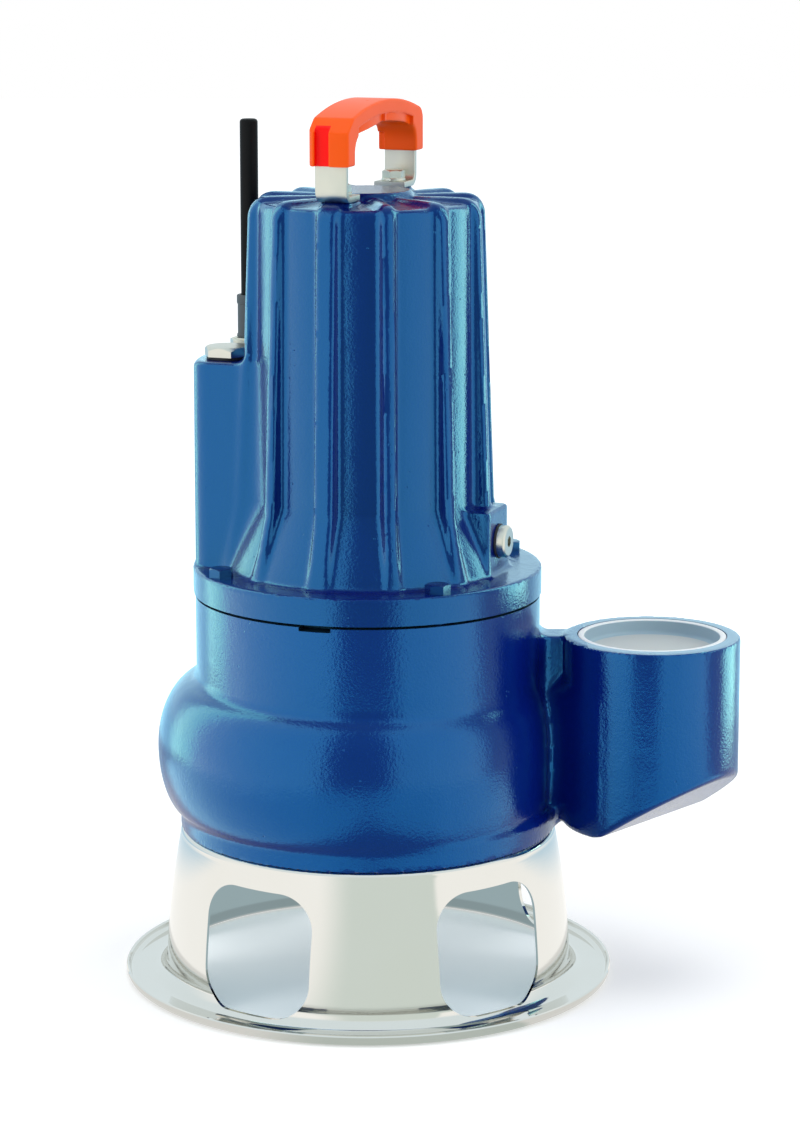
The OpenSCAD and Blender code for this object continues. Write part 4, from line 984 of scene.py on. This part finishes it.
plug_plastic = moulded("plug_plastic", (0.55, 0.59, 0.58), 0.34, local=cup_shades)
plug_outline = (
    [(0, -PLUG_CUP_DEEP), (PLUG_CUP_R - 2.2, -PLUG_CUP_DEEP)]
    + rounding((PLUG_CUP_R - 2.2, -PLUG_CUP_DEEP + 2), 2, -90, -6, 6)[1:]
    + [(PLUG_CUP_R, -0.7), (PLUG_CUP_R + 0.5, -0.15), (PLUG_CUP_R + 1.1, 0)]
    + [(PLUG_RIM_R - 0.9, 0), (PLUG_RIM_R - 0.25, -0.2), (PLUG_RIM_R, -0.7)]
    + [(PLUG_RIM_R, -1.9), (PORT_R - 0.5, -1.9)]
    + [(PORT_R - (0.4 if k % 2 else 1.1), -2.6 - 1.15 * k) for k in range(11)]
    + [(PORT_R - 2.2, -PLUG_LOW), (PORT_R - 4.2, -PLUG_LOW)]
    + [(PORT_R - 4.4, -PLUG_CUP_DEEP - 3), (0, -PLUG_CUP_DEEP - 3)]
)
plug_place = Matrix.Translation((OUTLET[0] * MM, OUTLET[1] * MM, OUTLET_TOP * MM))
plug_mesh = turned("transit_plug", plug_outline, 160, plug_place)
fit("transit_plug", plug_mesh, plug_plastic, "pale_plastic", "outlet_plug", "port_plug")


# Impeller
# An open impeller of bare grey iron, keyed on the shaft's lower end and held there by a
# stainless washer and a hexagon socket screw.
def coat(finish, *names):
    """Gives a finish to nodes of the CAD model whose shape is kept."""
    for name in names:
        nodes[name].data.materials.clear()
        nodes[name].data.materials.append(finish)


def bare_metal(name, colour, roughness, scale, deep, stretch=(1, 1, 1)):
    """Uncoated metal: a grain of casting, turning or rolling, and a light cloudy stain."""
    made, shader, place = finish_of(name, colour, roughness, 1.0)
    marks = grain(place, scale, 3.0, 0.55, stretch)
    cloud = grain(place, 24, 4.0, 0.6)
    stained = tuple(c * s for c, s in zip(colour, (0.6, 0.55, 0.5)))
    feed(
        shader,
        Base_Color=shader.blend(cloud * 0.6, (*colour, 1), (*stained, 1)),
        Roughness=roughness - 0.06 + 0.1 * marks + 0.08 * cloud,
        Normal=raised(shader, marks, deep, 0.6),
    )
    return made


cast_iron = bare_metal("bare_cast_iron", (0.22, 0.225, 0.23), 0.55, 420, 0.00022)
fastener_steel = bare_metal("fastener_steel", (0.62, 0.62, 0.60), 0.30, 500, 0.00002)
coat(cast_iron, "impeller")
coat(fastener_steel, "impeller_washer", "impeller_screw")


# Seal plate and bearing bracket
# Both are turned from grey-iron castings. The plate closes the pump chamber over a rubber
# O-ring, and a circlip holds the bracket with the lower bearing in the motor housing.
turned_iron = bare_metal("turned_iron", (0.33, 0.335, 0.34), 0.36, 90, 0.00003, (0.2, 0.2, 9))
spring_steel = bare_metal("spring_steel", (0.27, 0.27, 0.28), 0.34, 600, 0.00002)
seal_black = rubber("seal_black", (0.020, 0.020, 0.021), 0.55)
coat(turned_iron, "seal_plate", "bearing_bracket")
coat(spring_steel, "bracket_circlip", "wave_washer", "seal_spring")
coat(seal_black, "casing_oring", "upper_seal_head", "lower_seal_head")


# Shaft and rotor
# A ground steel shaft carries the rotor's core of thin steel sheets, with bars and end
# rings of aluminium cast through it. The impeller's key lies in the shaft's lower end.
ground_steel = bare_metal(
    "ground_steel", (0.56, 0.56, 0.57), 0.20, 300, 0.000012, (0.3, 0.3, 14)
)
cast_aluminium = bare_metal("cast_aluminium", (0.60, 0.61, 0.62), 0.44, 260, 0.00008)


def laminations(name, colour):
    """A core of half-millimetre sheets, whose edges show as fine lines along its height."""
    made, shader, place = finish_of(name, colour, 0.45, 1.0)
    height = shader.node("ShaderNodeSeparateXYZ", Vector=place).out("Z")
    sheet = height * 2000
    edge = sheet.math("ABSOLUTE", sheet.math("FRACT", sheet) - 0.5)
    oil = grain(place, 40, 3.0)
    dark = tuple(c * 0.55 for c in colour)
    feed(
        shader,
        Base_Color=shader.blend(band(edge, 0.40, 2.0, 0.05), (*colour, 1), (*dark, 1)),
        Roughness=0.34 + 0.2 * oil,
        Normal=raised(shader, edge, 0.00003, 0.5),
    )
    return made


core_steel = laminations("core_steel", (0.28, 0.28, 0.30))
coat(ground_steel, "shaft", "impeller_key")
coat(core_steel, "rotor_core", "stator_core")
coat(cast_aluminium, "rotor_cage")


# Bearings and shaft seals
# Two deep-groove ball bearings with polished rings and balls and pressed brass cages, and
# two face seals that run on lapped ceramic seats.
ring_steel = bare_metal("ring_steel", (0.60, 0.61, 0.63), 0.14, 200, 0.00001, (0.3, 0.3, 12))
ball_steel = bare_metal("ball_steel", (0.70, 0.71, 0.72), 0.06, 800, 0.000004)
cage_brass = bare_metal("cage_brass", (0.50, 0.35, 0.13), 0.36, 500, 0.00003)
seal_ceramic = moulded("seal_ceramic", (0.70, 0.67, 0.59), 0.28, 2200)
for place in ("upper", "lower"):
    coat(ring_steel, f"{place}_bearing_outer_ring", f"{place}_bearing_inner_ring")
    coat(ball_steel, f"{place}_bearing_balls")
    coat(cage_brass, f"{place}_bearing_cage")
    coat(seal_ceramic, f"{place}_seal_seat")


# Windings and leads
# Coils of enamelled copper wire, varnished in the stator's slots and laced over its ends,
# with four insulated cores that come down from the cable's tail in the terminal box.
def wound_copper():
    made, shader, place = finish_of(
        "wound_copper", (0.50, 0.20, 0.07), 0.30, 0.85, Coat_Weight=0.6
    )
    strands = grain(place, 700, 1.0, 0.4, (1, 1, 0.12))
    varnish = grain(place, 50, 3.0)
    feed(
        shader,
        Base_Color=shader.blend(strands, (0.62, 0.26, 0.09, 1), (0.30, 0.11, 0.04, 1)),
        Roughness=0.22 + 0.25 * varnish,
        Normal=raised(shader, strands, 0.0004, 0.8),
    )
    return made


coat(wound_copper(), "stator_windings")
coat(rubber("lead_covering", (0.16, 0.07, 0.035), 0.42, 1400), "lead_wires")
coat(cable_black, "cable_tail")


# Motor housing
# The second grey-iron casting: a ribbed barrel with a bolted flange, the terminal box at
# its back left and the oil plug's boss at its right. The ribs run over the shoulder to the
# hub, and two stouter ones carry the handle's feet. It is enamelled with the casing.
FLANGE_R, FLANGE_TOP, RIB_TOP, RIBS, STOUT_RIBS = 86.5, 210.3, 393.7, 12, (3, 9)
BOX_TOP, BOX_HALF, BOSS_X, BOSS_HALF, BOSS_TOP = 312, 30, 68.3, 15, 242.5
OIL_PLUG_Z, FOOT_BOLT_R = 226, 38.5
HANDLE_SPOTS = [(0, FOOT_BOLT_R), (0, -FOOT_BOLT_R)]


def outline_gap(r, z, points):
    """Distance to a closed outline of (radius, height) points."""
    near = np.full(np.broadcast(r, z).shape, 1e9, np.float32)
    within = np.zeros(near.shape, bool)
    for (ar, az), (br, bz) in zip(points, points[1:] + points[:1]):
        er, ez = br - ar, bz - az
        wr, wz = r - ar, z - az
        t = np.clip((wr * er + wz * ez) / (er * er + ez * ez), 0, 1)
        near = np.minimum(near, (wr - er * t) ** 2 + (wz - ez * t) ** 2)
        if ez:
            within ^= ((z >= min(az, bz)) & (z < max(az, bz))) & (wr < wz * er / ez)
    return np.sqrt(near) * np.where(within, -1, 1)


BARREL_OUTLINE = [(-20, 190), (56.5, 190), (70.5, FLANGE_TOP), (56, 245), (54.5, 388)]
BARREL_OUTLINE += rounding((51.5, 388), 3, 0, 85, 5)[1:]
BARREL_OUTLINE += [(24, 392.4), (21.3, 396.1), (-20, 396.1)]
RIB_OUTLINE = [(50, 200), (71.4, 200), (71.2, FLANGE_TOP + 0.6), (63.8, 242)]
RIB_OUTLINE += [(58.6, RIB_TOP - 10)] + rounding((48.6, RIB_TOP - 10), 10, 0, 90, 7)[1:]
RIB_OUTLINE += [(16, RIB_TOP), (16, 380), (46, 372), (46, 245)]


def housing_field(x, y, z):
    radius, turn = np.hypot(x, y), np.arctan2(y, x)
    sector = np.round(turn / (2 * np.pi / RIBS))
    off = turn - sector * (2 * np.pi / RIBS)
    out, aside = radius * np.cos(off), np.abs(radius * np.sin(off))
    stout = np.isin(sector % RIBS, STOUT_RIBS)
    rib = soft_max(outline_gap(out, z, RIB_OUTLINE), aside - np.where(stout, 5.0, 3.3), 2.6)
    barrel = outline_gap(radius, z, BARREL_OUTLINE)
    body = soft_min(barrel, rib, np.clip((radius - 22) / 5, 1.2, 3.2))

    # The box's front is drafted, and it covers the rib behind its front corner.
    front = -y - BOX_HALF - 3 - 0.045 * (BOX_TOP - z)
    box = soft_max(np.maximum(y - BOX_HALF, front), radius - 85.6, 6)
    box = soft_max(box, x + 30, 2)
    box = soft_max(box, soft_max(z - BOX_TOP, 198 - z, 2), 3)
    body = soft_min(body, box, 5)
    pad = soft_max(np.abs(x) - 8, np.abs(np.abs(y) - 37.2) - 8.3, 3)
    pad = soft_max(pad, soft_max(z - 394, 384 - z, 1), 1.0)
    body = soft_min(body, pad, 1.5)
    boss = soft_max(np.abs(y) - BOSS_HALF, soft_max(x - BOSS_X, 40 - x, 2), 2)
    boss = soft_max(boss, soft_max(z - BOSS_TOP, 200 - z, 2), 2)
    # The rib behind the boss ends on it.
    clear = soft_max(soft_max(BOSS_X + 0.1 - x, np.abs(y) - BOSS_HALF, 1), z - BOSS_TOP, 1)
    body = soft_min(soft_max(body, -clear, 1.5), boss, 3)
    flange = soft_max(radius - FLANGE_R, z - FLANGE_TOP, 1.6)
    return np.maximum(soft_min(body, flange, 2.6), SEAM - 1 - z)


def housing_tools():
    """The seam's face, the stator's room, the circlip's groove, the terminal box with its way
    to the motor, and the threads of the fittings, the handle, the flange and the oil plug."""
    bracket, ledge, inner_top, bearing, bore, seat = 238, 246, 384, 366.5, 47, 49.03
    rotor_room = [
        (0, inner_top - 6), (16.03, inner_top - 6), (16.03, bearing - 1), (21, bearing - 1),
        (21, inner_top), (bore - 6, inner_top), (bore, inner_top - 6), (bore, ledge),
        (seat, ledge), (seat, bracket - 1.8), (51, bracket - 1.8), (58.43, SEAM + 6),
        (58.43, SEAM - 1), (0, SEAM - 1),
    ]
    fittings = [(GLAND_X, GLAND_Y), (GLAND_X, -GLAND_Y)]
    sideways = Matrix.Translation((0, 0, OIL_PLUG_Z)) @ Matrix.Rotation(math.pi / 2, 4, "Y")
    return [
        tool_turned(bored((99, SEAM, SEAM - 9))),
        tool_turned(rotor_room),
        tool_turned(bored((51, bracket, bracket - 1.6))),
        tool_block((-81, -25, 240), (-56, 25, 307)),
        tool_block((-57, -16, 248), (-45, 16, 270)),
        *pins(7.5, 302, 322, fittings),
        *pins(3, 379, 399, HANDLE_SPOTS),
        *pins(4.3, SEAM - 1, FLANGE_TOP + 1, round_spots(BOLT_RING, 45, 4)),
        tool_turned(bored((5, 40, 0)), 32, (47, 0), sideways),
    ]


housing_enamel = enamel("housing_enamel", (0.001, 0.009, 0.135), (0.001, 0.006, 0.108))
housing_mesh = casting(
    "housing", housing_field, (-90, -90, 193), (90, 90, 400), 1.55, housing_tools(), motor_turned
)
housing = fit("housing", housing_mesh, housing_enamel, "enamelled_iron", "pump", "motor_housing")
glossy_pieces.objects.link(housing)


# Flange bolts
# Four hexagon bolts hold the housing on the casing. They were in place when the pump was
# enamelled, so their heads are painted over, soft at the corners.
FLANGE_BOLT_AF = 10.8
bolt_enamel = enamel("bolt_enamel", (0.002, 0.012, 0.110), (0.001, 0.008, 0.085), 0.2, 0.5)
bolts_mesh = hex_heads(
    "flange_bolts", bolt_enamel, FLANGE_BOLT_AF, bolt_blank(FLANGE_BOLT_AF, 4.6, 3.9, 28.4), 4,
    math.radians(45) + MOTOR_TURN, (BOLT_RING, 0, FLANGE_TOP),
)
flange_bolts = fit(
    "flange_hex_bolts", bolts_mesh, bolt_enamel, "enamelled_steel", "pump", "flange_bolts"
)
glossy_pieces.objects.link(flange_bolts)


# Handle
# A bent strap of nickel-plated steel, 16 by 3 mm. Its feet stand on the housing's two stout
# ribs, and its arch is moulded into the grip.
LEG_R, STRAP_HALF, STRAP_T, STRAP_BEND, STRAP_CORNER = 50.5, 8, 3, 6, 10
RIB_FOOT, GRIP_TOP, GRIP_ARC_R, STRAP_COVER = 394, 440, 184.19, 6


def plated(name, colour, roughness, brush=(1, 1, 1)):
    """Satin nickel plating: a very fine grain, and a cool cloud where the plating is thicker."""
    made, shader, place = finish_of(name, colour, roughness, 1.0)
    scratches = grain(place, 520, 3.0, 0.6, brush)
    cloud = grain(place, 45, 3.0, 0.55)
    cool = tuple(c * w for c, w in zip(colour, (0.86, 0.9, 0.95)))
    feed(
        shader,
        Base_Color=shader.blend(cloud, (*colour, 1), (*cool, 1)),
        Roughness=roughness - 0.05 + 0.1 * scratches + 0.08 * cloud,
        Normal=raised(shader, scratches, 0.000015, 0.5, raised(shader, cloud, 0.0002, 0.3)),
    )
    return made


def strap_line():
    """The strap's middle line in the handle's plane, as points and their outward directions."""
    outer, middle = GRIP_ARC_R - STRAP_COVER, GRIP_TOP - GRIP_ARC_R
    corner_y = LEG_R - STRAP_CORNER
    corner_z = middle + math.sqrt(outer**2 - corner_y**2) - STRAP_CORNER
    lean = 90 - math.degrees(math.asin(corner_y / outer))
    bends = [
        ((LEG_R - STRAP_BEND, RIB_FOOT + STRAP_BEND), STRAP_BEND, np.linspace(270, 360, 9)),
        ((corner_y, corner_z), STRAP_CORNER, np.linspace(0, lean, 8)),
        ((0, middle), outer, np.linspace(lean, 90, 9)[1:]),
    ]
    half = [(LEG_R - 18.5, RIB_FOOT + STRAP_T / 2, 0, -1)]
    for (y, z), radius, turns in bends:
        for t in np.radians(turns):
            c, s = math.cos(t), math.sin(t)
            out = radius - STRAP_T / 2
            half.append((y + out * c, z + out * s, c, s))
    return half + [(-y, z, -ny, nz) for y, z, ny, nz in half[-2::-1]]


def bent_strap():
    """A flat bar with slightly rounded edges, carried along its bent line, in millimetres."""
    edge, section = 0.45, []
    for side, face, start in ((1, 1, 0), (-1, 1, 90), (-1, -1, 180), (1, -1, 270)):
        corner = (side * (STRAP_HALF - edge), face * (STRAP_T / 2 - edge))
        section += rounding(corner, edge, start, start + 90, 3)
    rings = []
    for y, z, ny, nz in strap_line():
        rings.append([(x, y + ny * t, z + nz * t) for x, t in section])
    return loft("strap", rings)


strap_nickel = plated("strap_nickel", (0.76, 0.76, 0.66), 0.38, (1, 1, 0.25))
strap_holes = pins(3.3, 390, 400, HANDLE_SPOTS)
strap_mesh = machined("handle_strap", bent_strap(), strap_holes, motor_turned, 32)
fit("handle_bent_strap", strap_mesh, strap_nickel, "plated_steel", "pump", "handle_strap")


# Grip
# Orange plastic moulded over the strap: an arched bar with a sleeve down each leg. Under
# the arch lie two finger pads, and the front sleeve has a round-topped recess.
GRIP_HALF, GRIP_LOW, GRIP_T, PAD_DEEP, SLOT_TOP, END_TOP = 10.25, 411.5, 10.5, 6.6, 427.4, 427.5
GRIP_OUT = LEG_R - STRAP_T / 2 + GRIP_T / 2


def grip_field(x, y, z):
    away, up = np.abs(y), np.hypot(y, z - GRIP_TOP + GRIP_ARC_R)
    front = y < 0
    lens = np.clip(1 - ((away - 18.4) / 16.4) ** 2, 0, 1)
    face = away - GRIP_OUT + np.where(front & (x > 0.5), 0.011 * (x - 5) ** 2, 0)
    arch = up - GRIP_ARC_R
    outline = np.where(front, soft_max(arch, face, 1.0), soft_max(arch, face, 5))
    end_face = (away - GRIP_OUT) * 0.63 + (z - END_TOP) * 0.776
    outline = np.where(front, soft_max(outline, end_face, 0.3), outline)
    room = soft_max(up - (GRIP_ARC_R - GRIP_T - 0.4 * lens), away - (GRIP_OUT - GRIP_T), 8)
    body = soft_max(outline, -room, 0.8)
    body = soft_max(body, GRIP_LOW - z, 0.7)
    body = soft_max(body, np.abs(x) - GRIP_HALF, 1.1)
    # The finger pads stand back from the bar's sides, parted by a small rib in the middle.
    pad_half = 8.2 + np.where(away < 1.1, 1.5, 1.7 * lens)
    beside = np.maximum(np.maximum(pad_half - np.abs(x), arch + PAD_DEEP), away - 39)
    body = soft_max(body, -beside, 0.35)
    # A bevelled left edge and a recess in the front sleeve, and a step inside the back one.
    bevel = (-x - y - GRIP_HALF - GRIP_OUT + 2.4) * 0.707
    body = np.where(front, soft_max(body, bevel, 0.6), body)
    step = np.maximum(x + 6.8, away - (GRIP_OUT - GRIP_T + 1.3))
    step = np.maximum(step, z - GRIP_LOW - 9)
    body = np.where(front, body, soft_max(body, -step, 0.4))
    across, above = x + 3.4, z - SLOT_TOP
    slot = np.where(above > 0, np.hypot(across, above), np.abs(across)) - 3.7
    slot = soft_max(slot, GRIP_OUT - 2.6 - away, 0.4)
    body = np.where(front, soft_max(body, -slot, 0.5), body)
    # Mark of the moulding gate on the top.
    gate = np.sqrt((x - 3.5) ** 2 + (y + 9) ** 2 + (z - GRIP_TOP - 0.35) ** 2) - 0.9
    return soft_max(body, -gate, 0.3)


def recess_painted_shade(place, tint):
    """Painted shade: the grip's colour is painted a deeper red in the front sleeve's recess."""
    spot = place.node("ShaderNodeMapping", Vector=place, Rotation=(0, 0, -MOTOR_TURN))
    spot = spot.node("ShaderNodeSeparateXYZ", Vector=spot)
    back = spot.out("Y") > -(GRIP_OUT - 1.2) * MM
    wide = band(spot.out("X"), -7.2 * MM, 0.4 * MM, 0.0001)
    recess = back * (wide * (spot.out("Y") < -(GRIP_OUT - 4) * MM)) * (spot.out("Z") < 431.3 * MM)
    # Painted shade: the recess is coloured a deeper red.
    return place.blend(recess, tint, (1.0, 0.003, 0.001, 1))


grip_orange = moulded("grip_orange", (1.0, 0.105, 0.001), 0.36, 1300, 0.00003, 0.22, recess_painted_shade)
grip_mesh = casting(
    "handle_grip", grip_field, (-12, -56, 409), (12, 56, 442), 0.62, [], motor_turned
)
fit("handle_moulded_grip", grip_mesh, grip_orange, "orange_plastic", "pump", "handle_grip")


# Handle bolts
# An M6 hexagon bolt of plated steel, with a plain washer, holds each foot of the strap.
def washer(radius, bore, thick, low=0.0):
    """Outline of a flat ring with slightly rounded edges."""
    edge, top = min(0.25, thick / 3), low + thick
    return [
        (bore, low + edge), (bore + edge, low), (radius - edge, low), (radius, low + edge),
        (radius, top - edge), (radius - edge, top), (bore + edge, top), (bore, top - edge),
    ]


def washers(name, finish, outline, count, turn, spot):
    """Turned rings set out round the shaft's axis; spot is in millimetres."""
    pattern = Pattern(name, count=count, turn=turn)
    flow, size, out = pattern.base, pattern.size, tuple(v * MM for v in spot)
    copies = set_out(flow, flow, size["count"], size["turn"], out)
    return pattern.grow(name, copies, finish, turned(name, outline, 48, ring=True))


bolt_nickel = plated("bolt_nickel", (0.80, 0.78, 0.66), 0.26)
foot_turn, washer_low, washer_t = MOTOR_TURN + math.pi / 2, RIB_FOOT + STRAP_T, 1.4
washers_mesh = washers(
    "handle_washers", bolt_nickel, washer(6, 3.2, washer_t), 2, foot_turn,
    (FOOT_BOLT_R, 0, washer_low),
)
bolts_mesh = hex_heads(
    "handle_bolts", bolt_nickel, 10, bolt_blank(10, 4, 2.95, 16.2), 2, foot_turn,
    (FOOT_BOLT_R, 0, washer_low + washer_t),
)
fit("handle_plain_washers", washers_mesh, bolt_nickel, "plated_steel", "pump", "handle_washers")
fit("handle_hex_bolts", bolts_mesh, bolt_nickel, "plated_steel", "pump", "handle_bolts")


# Oil plug
# A turned plug of plated steel with a 5 mm key's socket closes the oil chamber. It is
# screwed into the boss at the right of the housing, on a black sealing washer.
plug_nickel = plated("plug_nickel", (0.80, 0.78, 0.68), 0.26)
disc_outline = [(0, 4.5), (6.8, 4.5), (7.1, 4.4), (7.9, 3.6), (8.0, 3.3), (8.0, 0.3)]
disc_outline += [(7.8, 0.0), (4.9, 0.0), (4.9, -11.2), (4.2, -12), (0, -12)]
plug_mesh = hex_heads(
    "oil_plug", plug_nickel, 20, turned("oil_plug_blank", disc_outline, 64), 1, MOTOR_TURN,
    (BOSS_X + 1, 0, OIL_PLUG_Z), socket=(5, 4.1, 4.5), face=(0, math.pi / 2, 0),
)
fit("oil_socket_plug", plug_mesh, plug_nickel, "plated_steel", "pump", "oil_plug")
boss_face = Matrix.Translation((BOSS_X * MM, 0, OIL_PLUG_Z * MM))
boss_face = motor_turned @ boss_face @ Matrix.Rotation(math.pi / 2, 4, "Y")
seal_mesh = turned("oil_plug_washer", washer(8.6, 5.2, 1), 64, boss_face, ring=True)
fit("oil_sealing_washer", seal_mesh, seal_black, "seal_rubber", "pump", "oil_plug_washer")


# Blanking plug
# The terminal box is threaded for two glands. The front hole is closed by a hexagon plug
# of plated steel with a domed head, on a black sealing washer.
dome_outline = [(0, 5.2), (5.25, 5.15), (9.5, 4.8)] + rounding((9.6, 3.3), 1.5, 80, 20, 4)
dome_outline += [(12.3, 2.8), (12.3, 0), (7.4, 0), (7.4, -9.6), (6.6, -10.5), (0, -10.5)]
seal_t = 1.5
plug_mesh = hex_heads(
    "blanking_plug", plug_nickel, 21, turned("blanking_blank", dome_outline, 72), 1, MOTOR_TURN,
    (GLAND_X, -GLAND_Y, BOX_TOP + seal_t),
)
fit("blanking_hex_plug", plug_mesh, plug_nickel, "plated_steel", "pump", "blanking_plug")
plug_axis = Matrix.Translation(on_motor(GLAND_X, -GLAND_Y, 0))
seal_outline = washer(10.4, 7.6, seal_t, BOX_TOP)
seal_mesh = turned("blanking_plug_washer", seal_outline, 64, plug_axis, ring=True)
fit("blanking_sealing_washer", seal_mesh, seal_black, "seal_rubber", "pump", "blanking_plug_washer")


# Cable gland
# The cable leaves the terminal box through a plated nut and a tight grey rubber sleeve
# with a thicker collar at its top.
nut_outline = [(4.7, 6.6), (7.9, 6.6), (8.3, 6.3), (8.3, 6.0), (9.6, 5.95), (10.6, 5.4)]
nut_outline += [(11.6, 4.6), (11.6, 0), (7.4, 0), (7.4, -8.2), (6.7, -9), (4.7, -9)]
nut_mesh = hex_heads(
    "cable_gland", bolt_nickel, 19, turned("gland_blank", nut_outline, 72, ring=True), 1,
    MOTOR_TURN, (GLAND_X, GLAND_Y, BOX_TOP),
)
fit("gland_nut", nut_mesh, bolt_nickel, "plated_steel", "pump", "cable_gland")
sleeve_grey = rubber("sleeve_grey", (0.062, 0.078, 0.085), 0.46, 700)
foot, collar = BOX_TOP + 6.6, SLEEVE_TOP - 4.3
sleeve_outline = (
    [(4.7, foot), (6.5, foot), (6.75, foot + 0.4), (6.75, foot + 1.5), (6.35, foot + 1.9)]
    + [(6.35, collar - 0.4), (6.6, collar - 0.1), (6.75, collar + 0.2), (6.75, SLEEVE_TOP - 0.7)]
    + rounding((6.05, SLEEVE_TOP - 0.7), 0.7, 0, 90, 4)[1:]
    + [(4.9, SLEEVE_TOP), (4.7, SLEEVE_TOP - 0.2)]
)
sleeve_mesh = turned("gland_sleeve", sleeve_outline, 64, gland_axis, ring=True)
fit("gland_rubber_sleeve", sleeve_mesh, sleeve_grey, "grey_sleeve", "pump", "gland_sleeve")
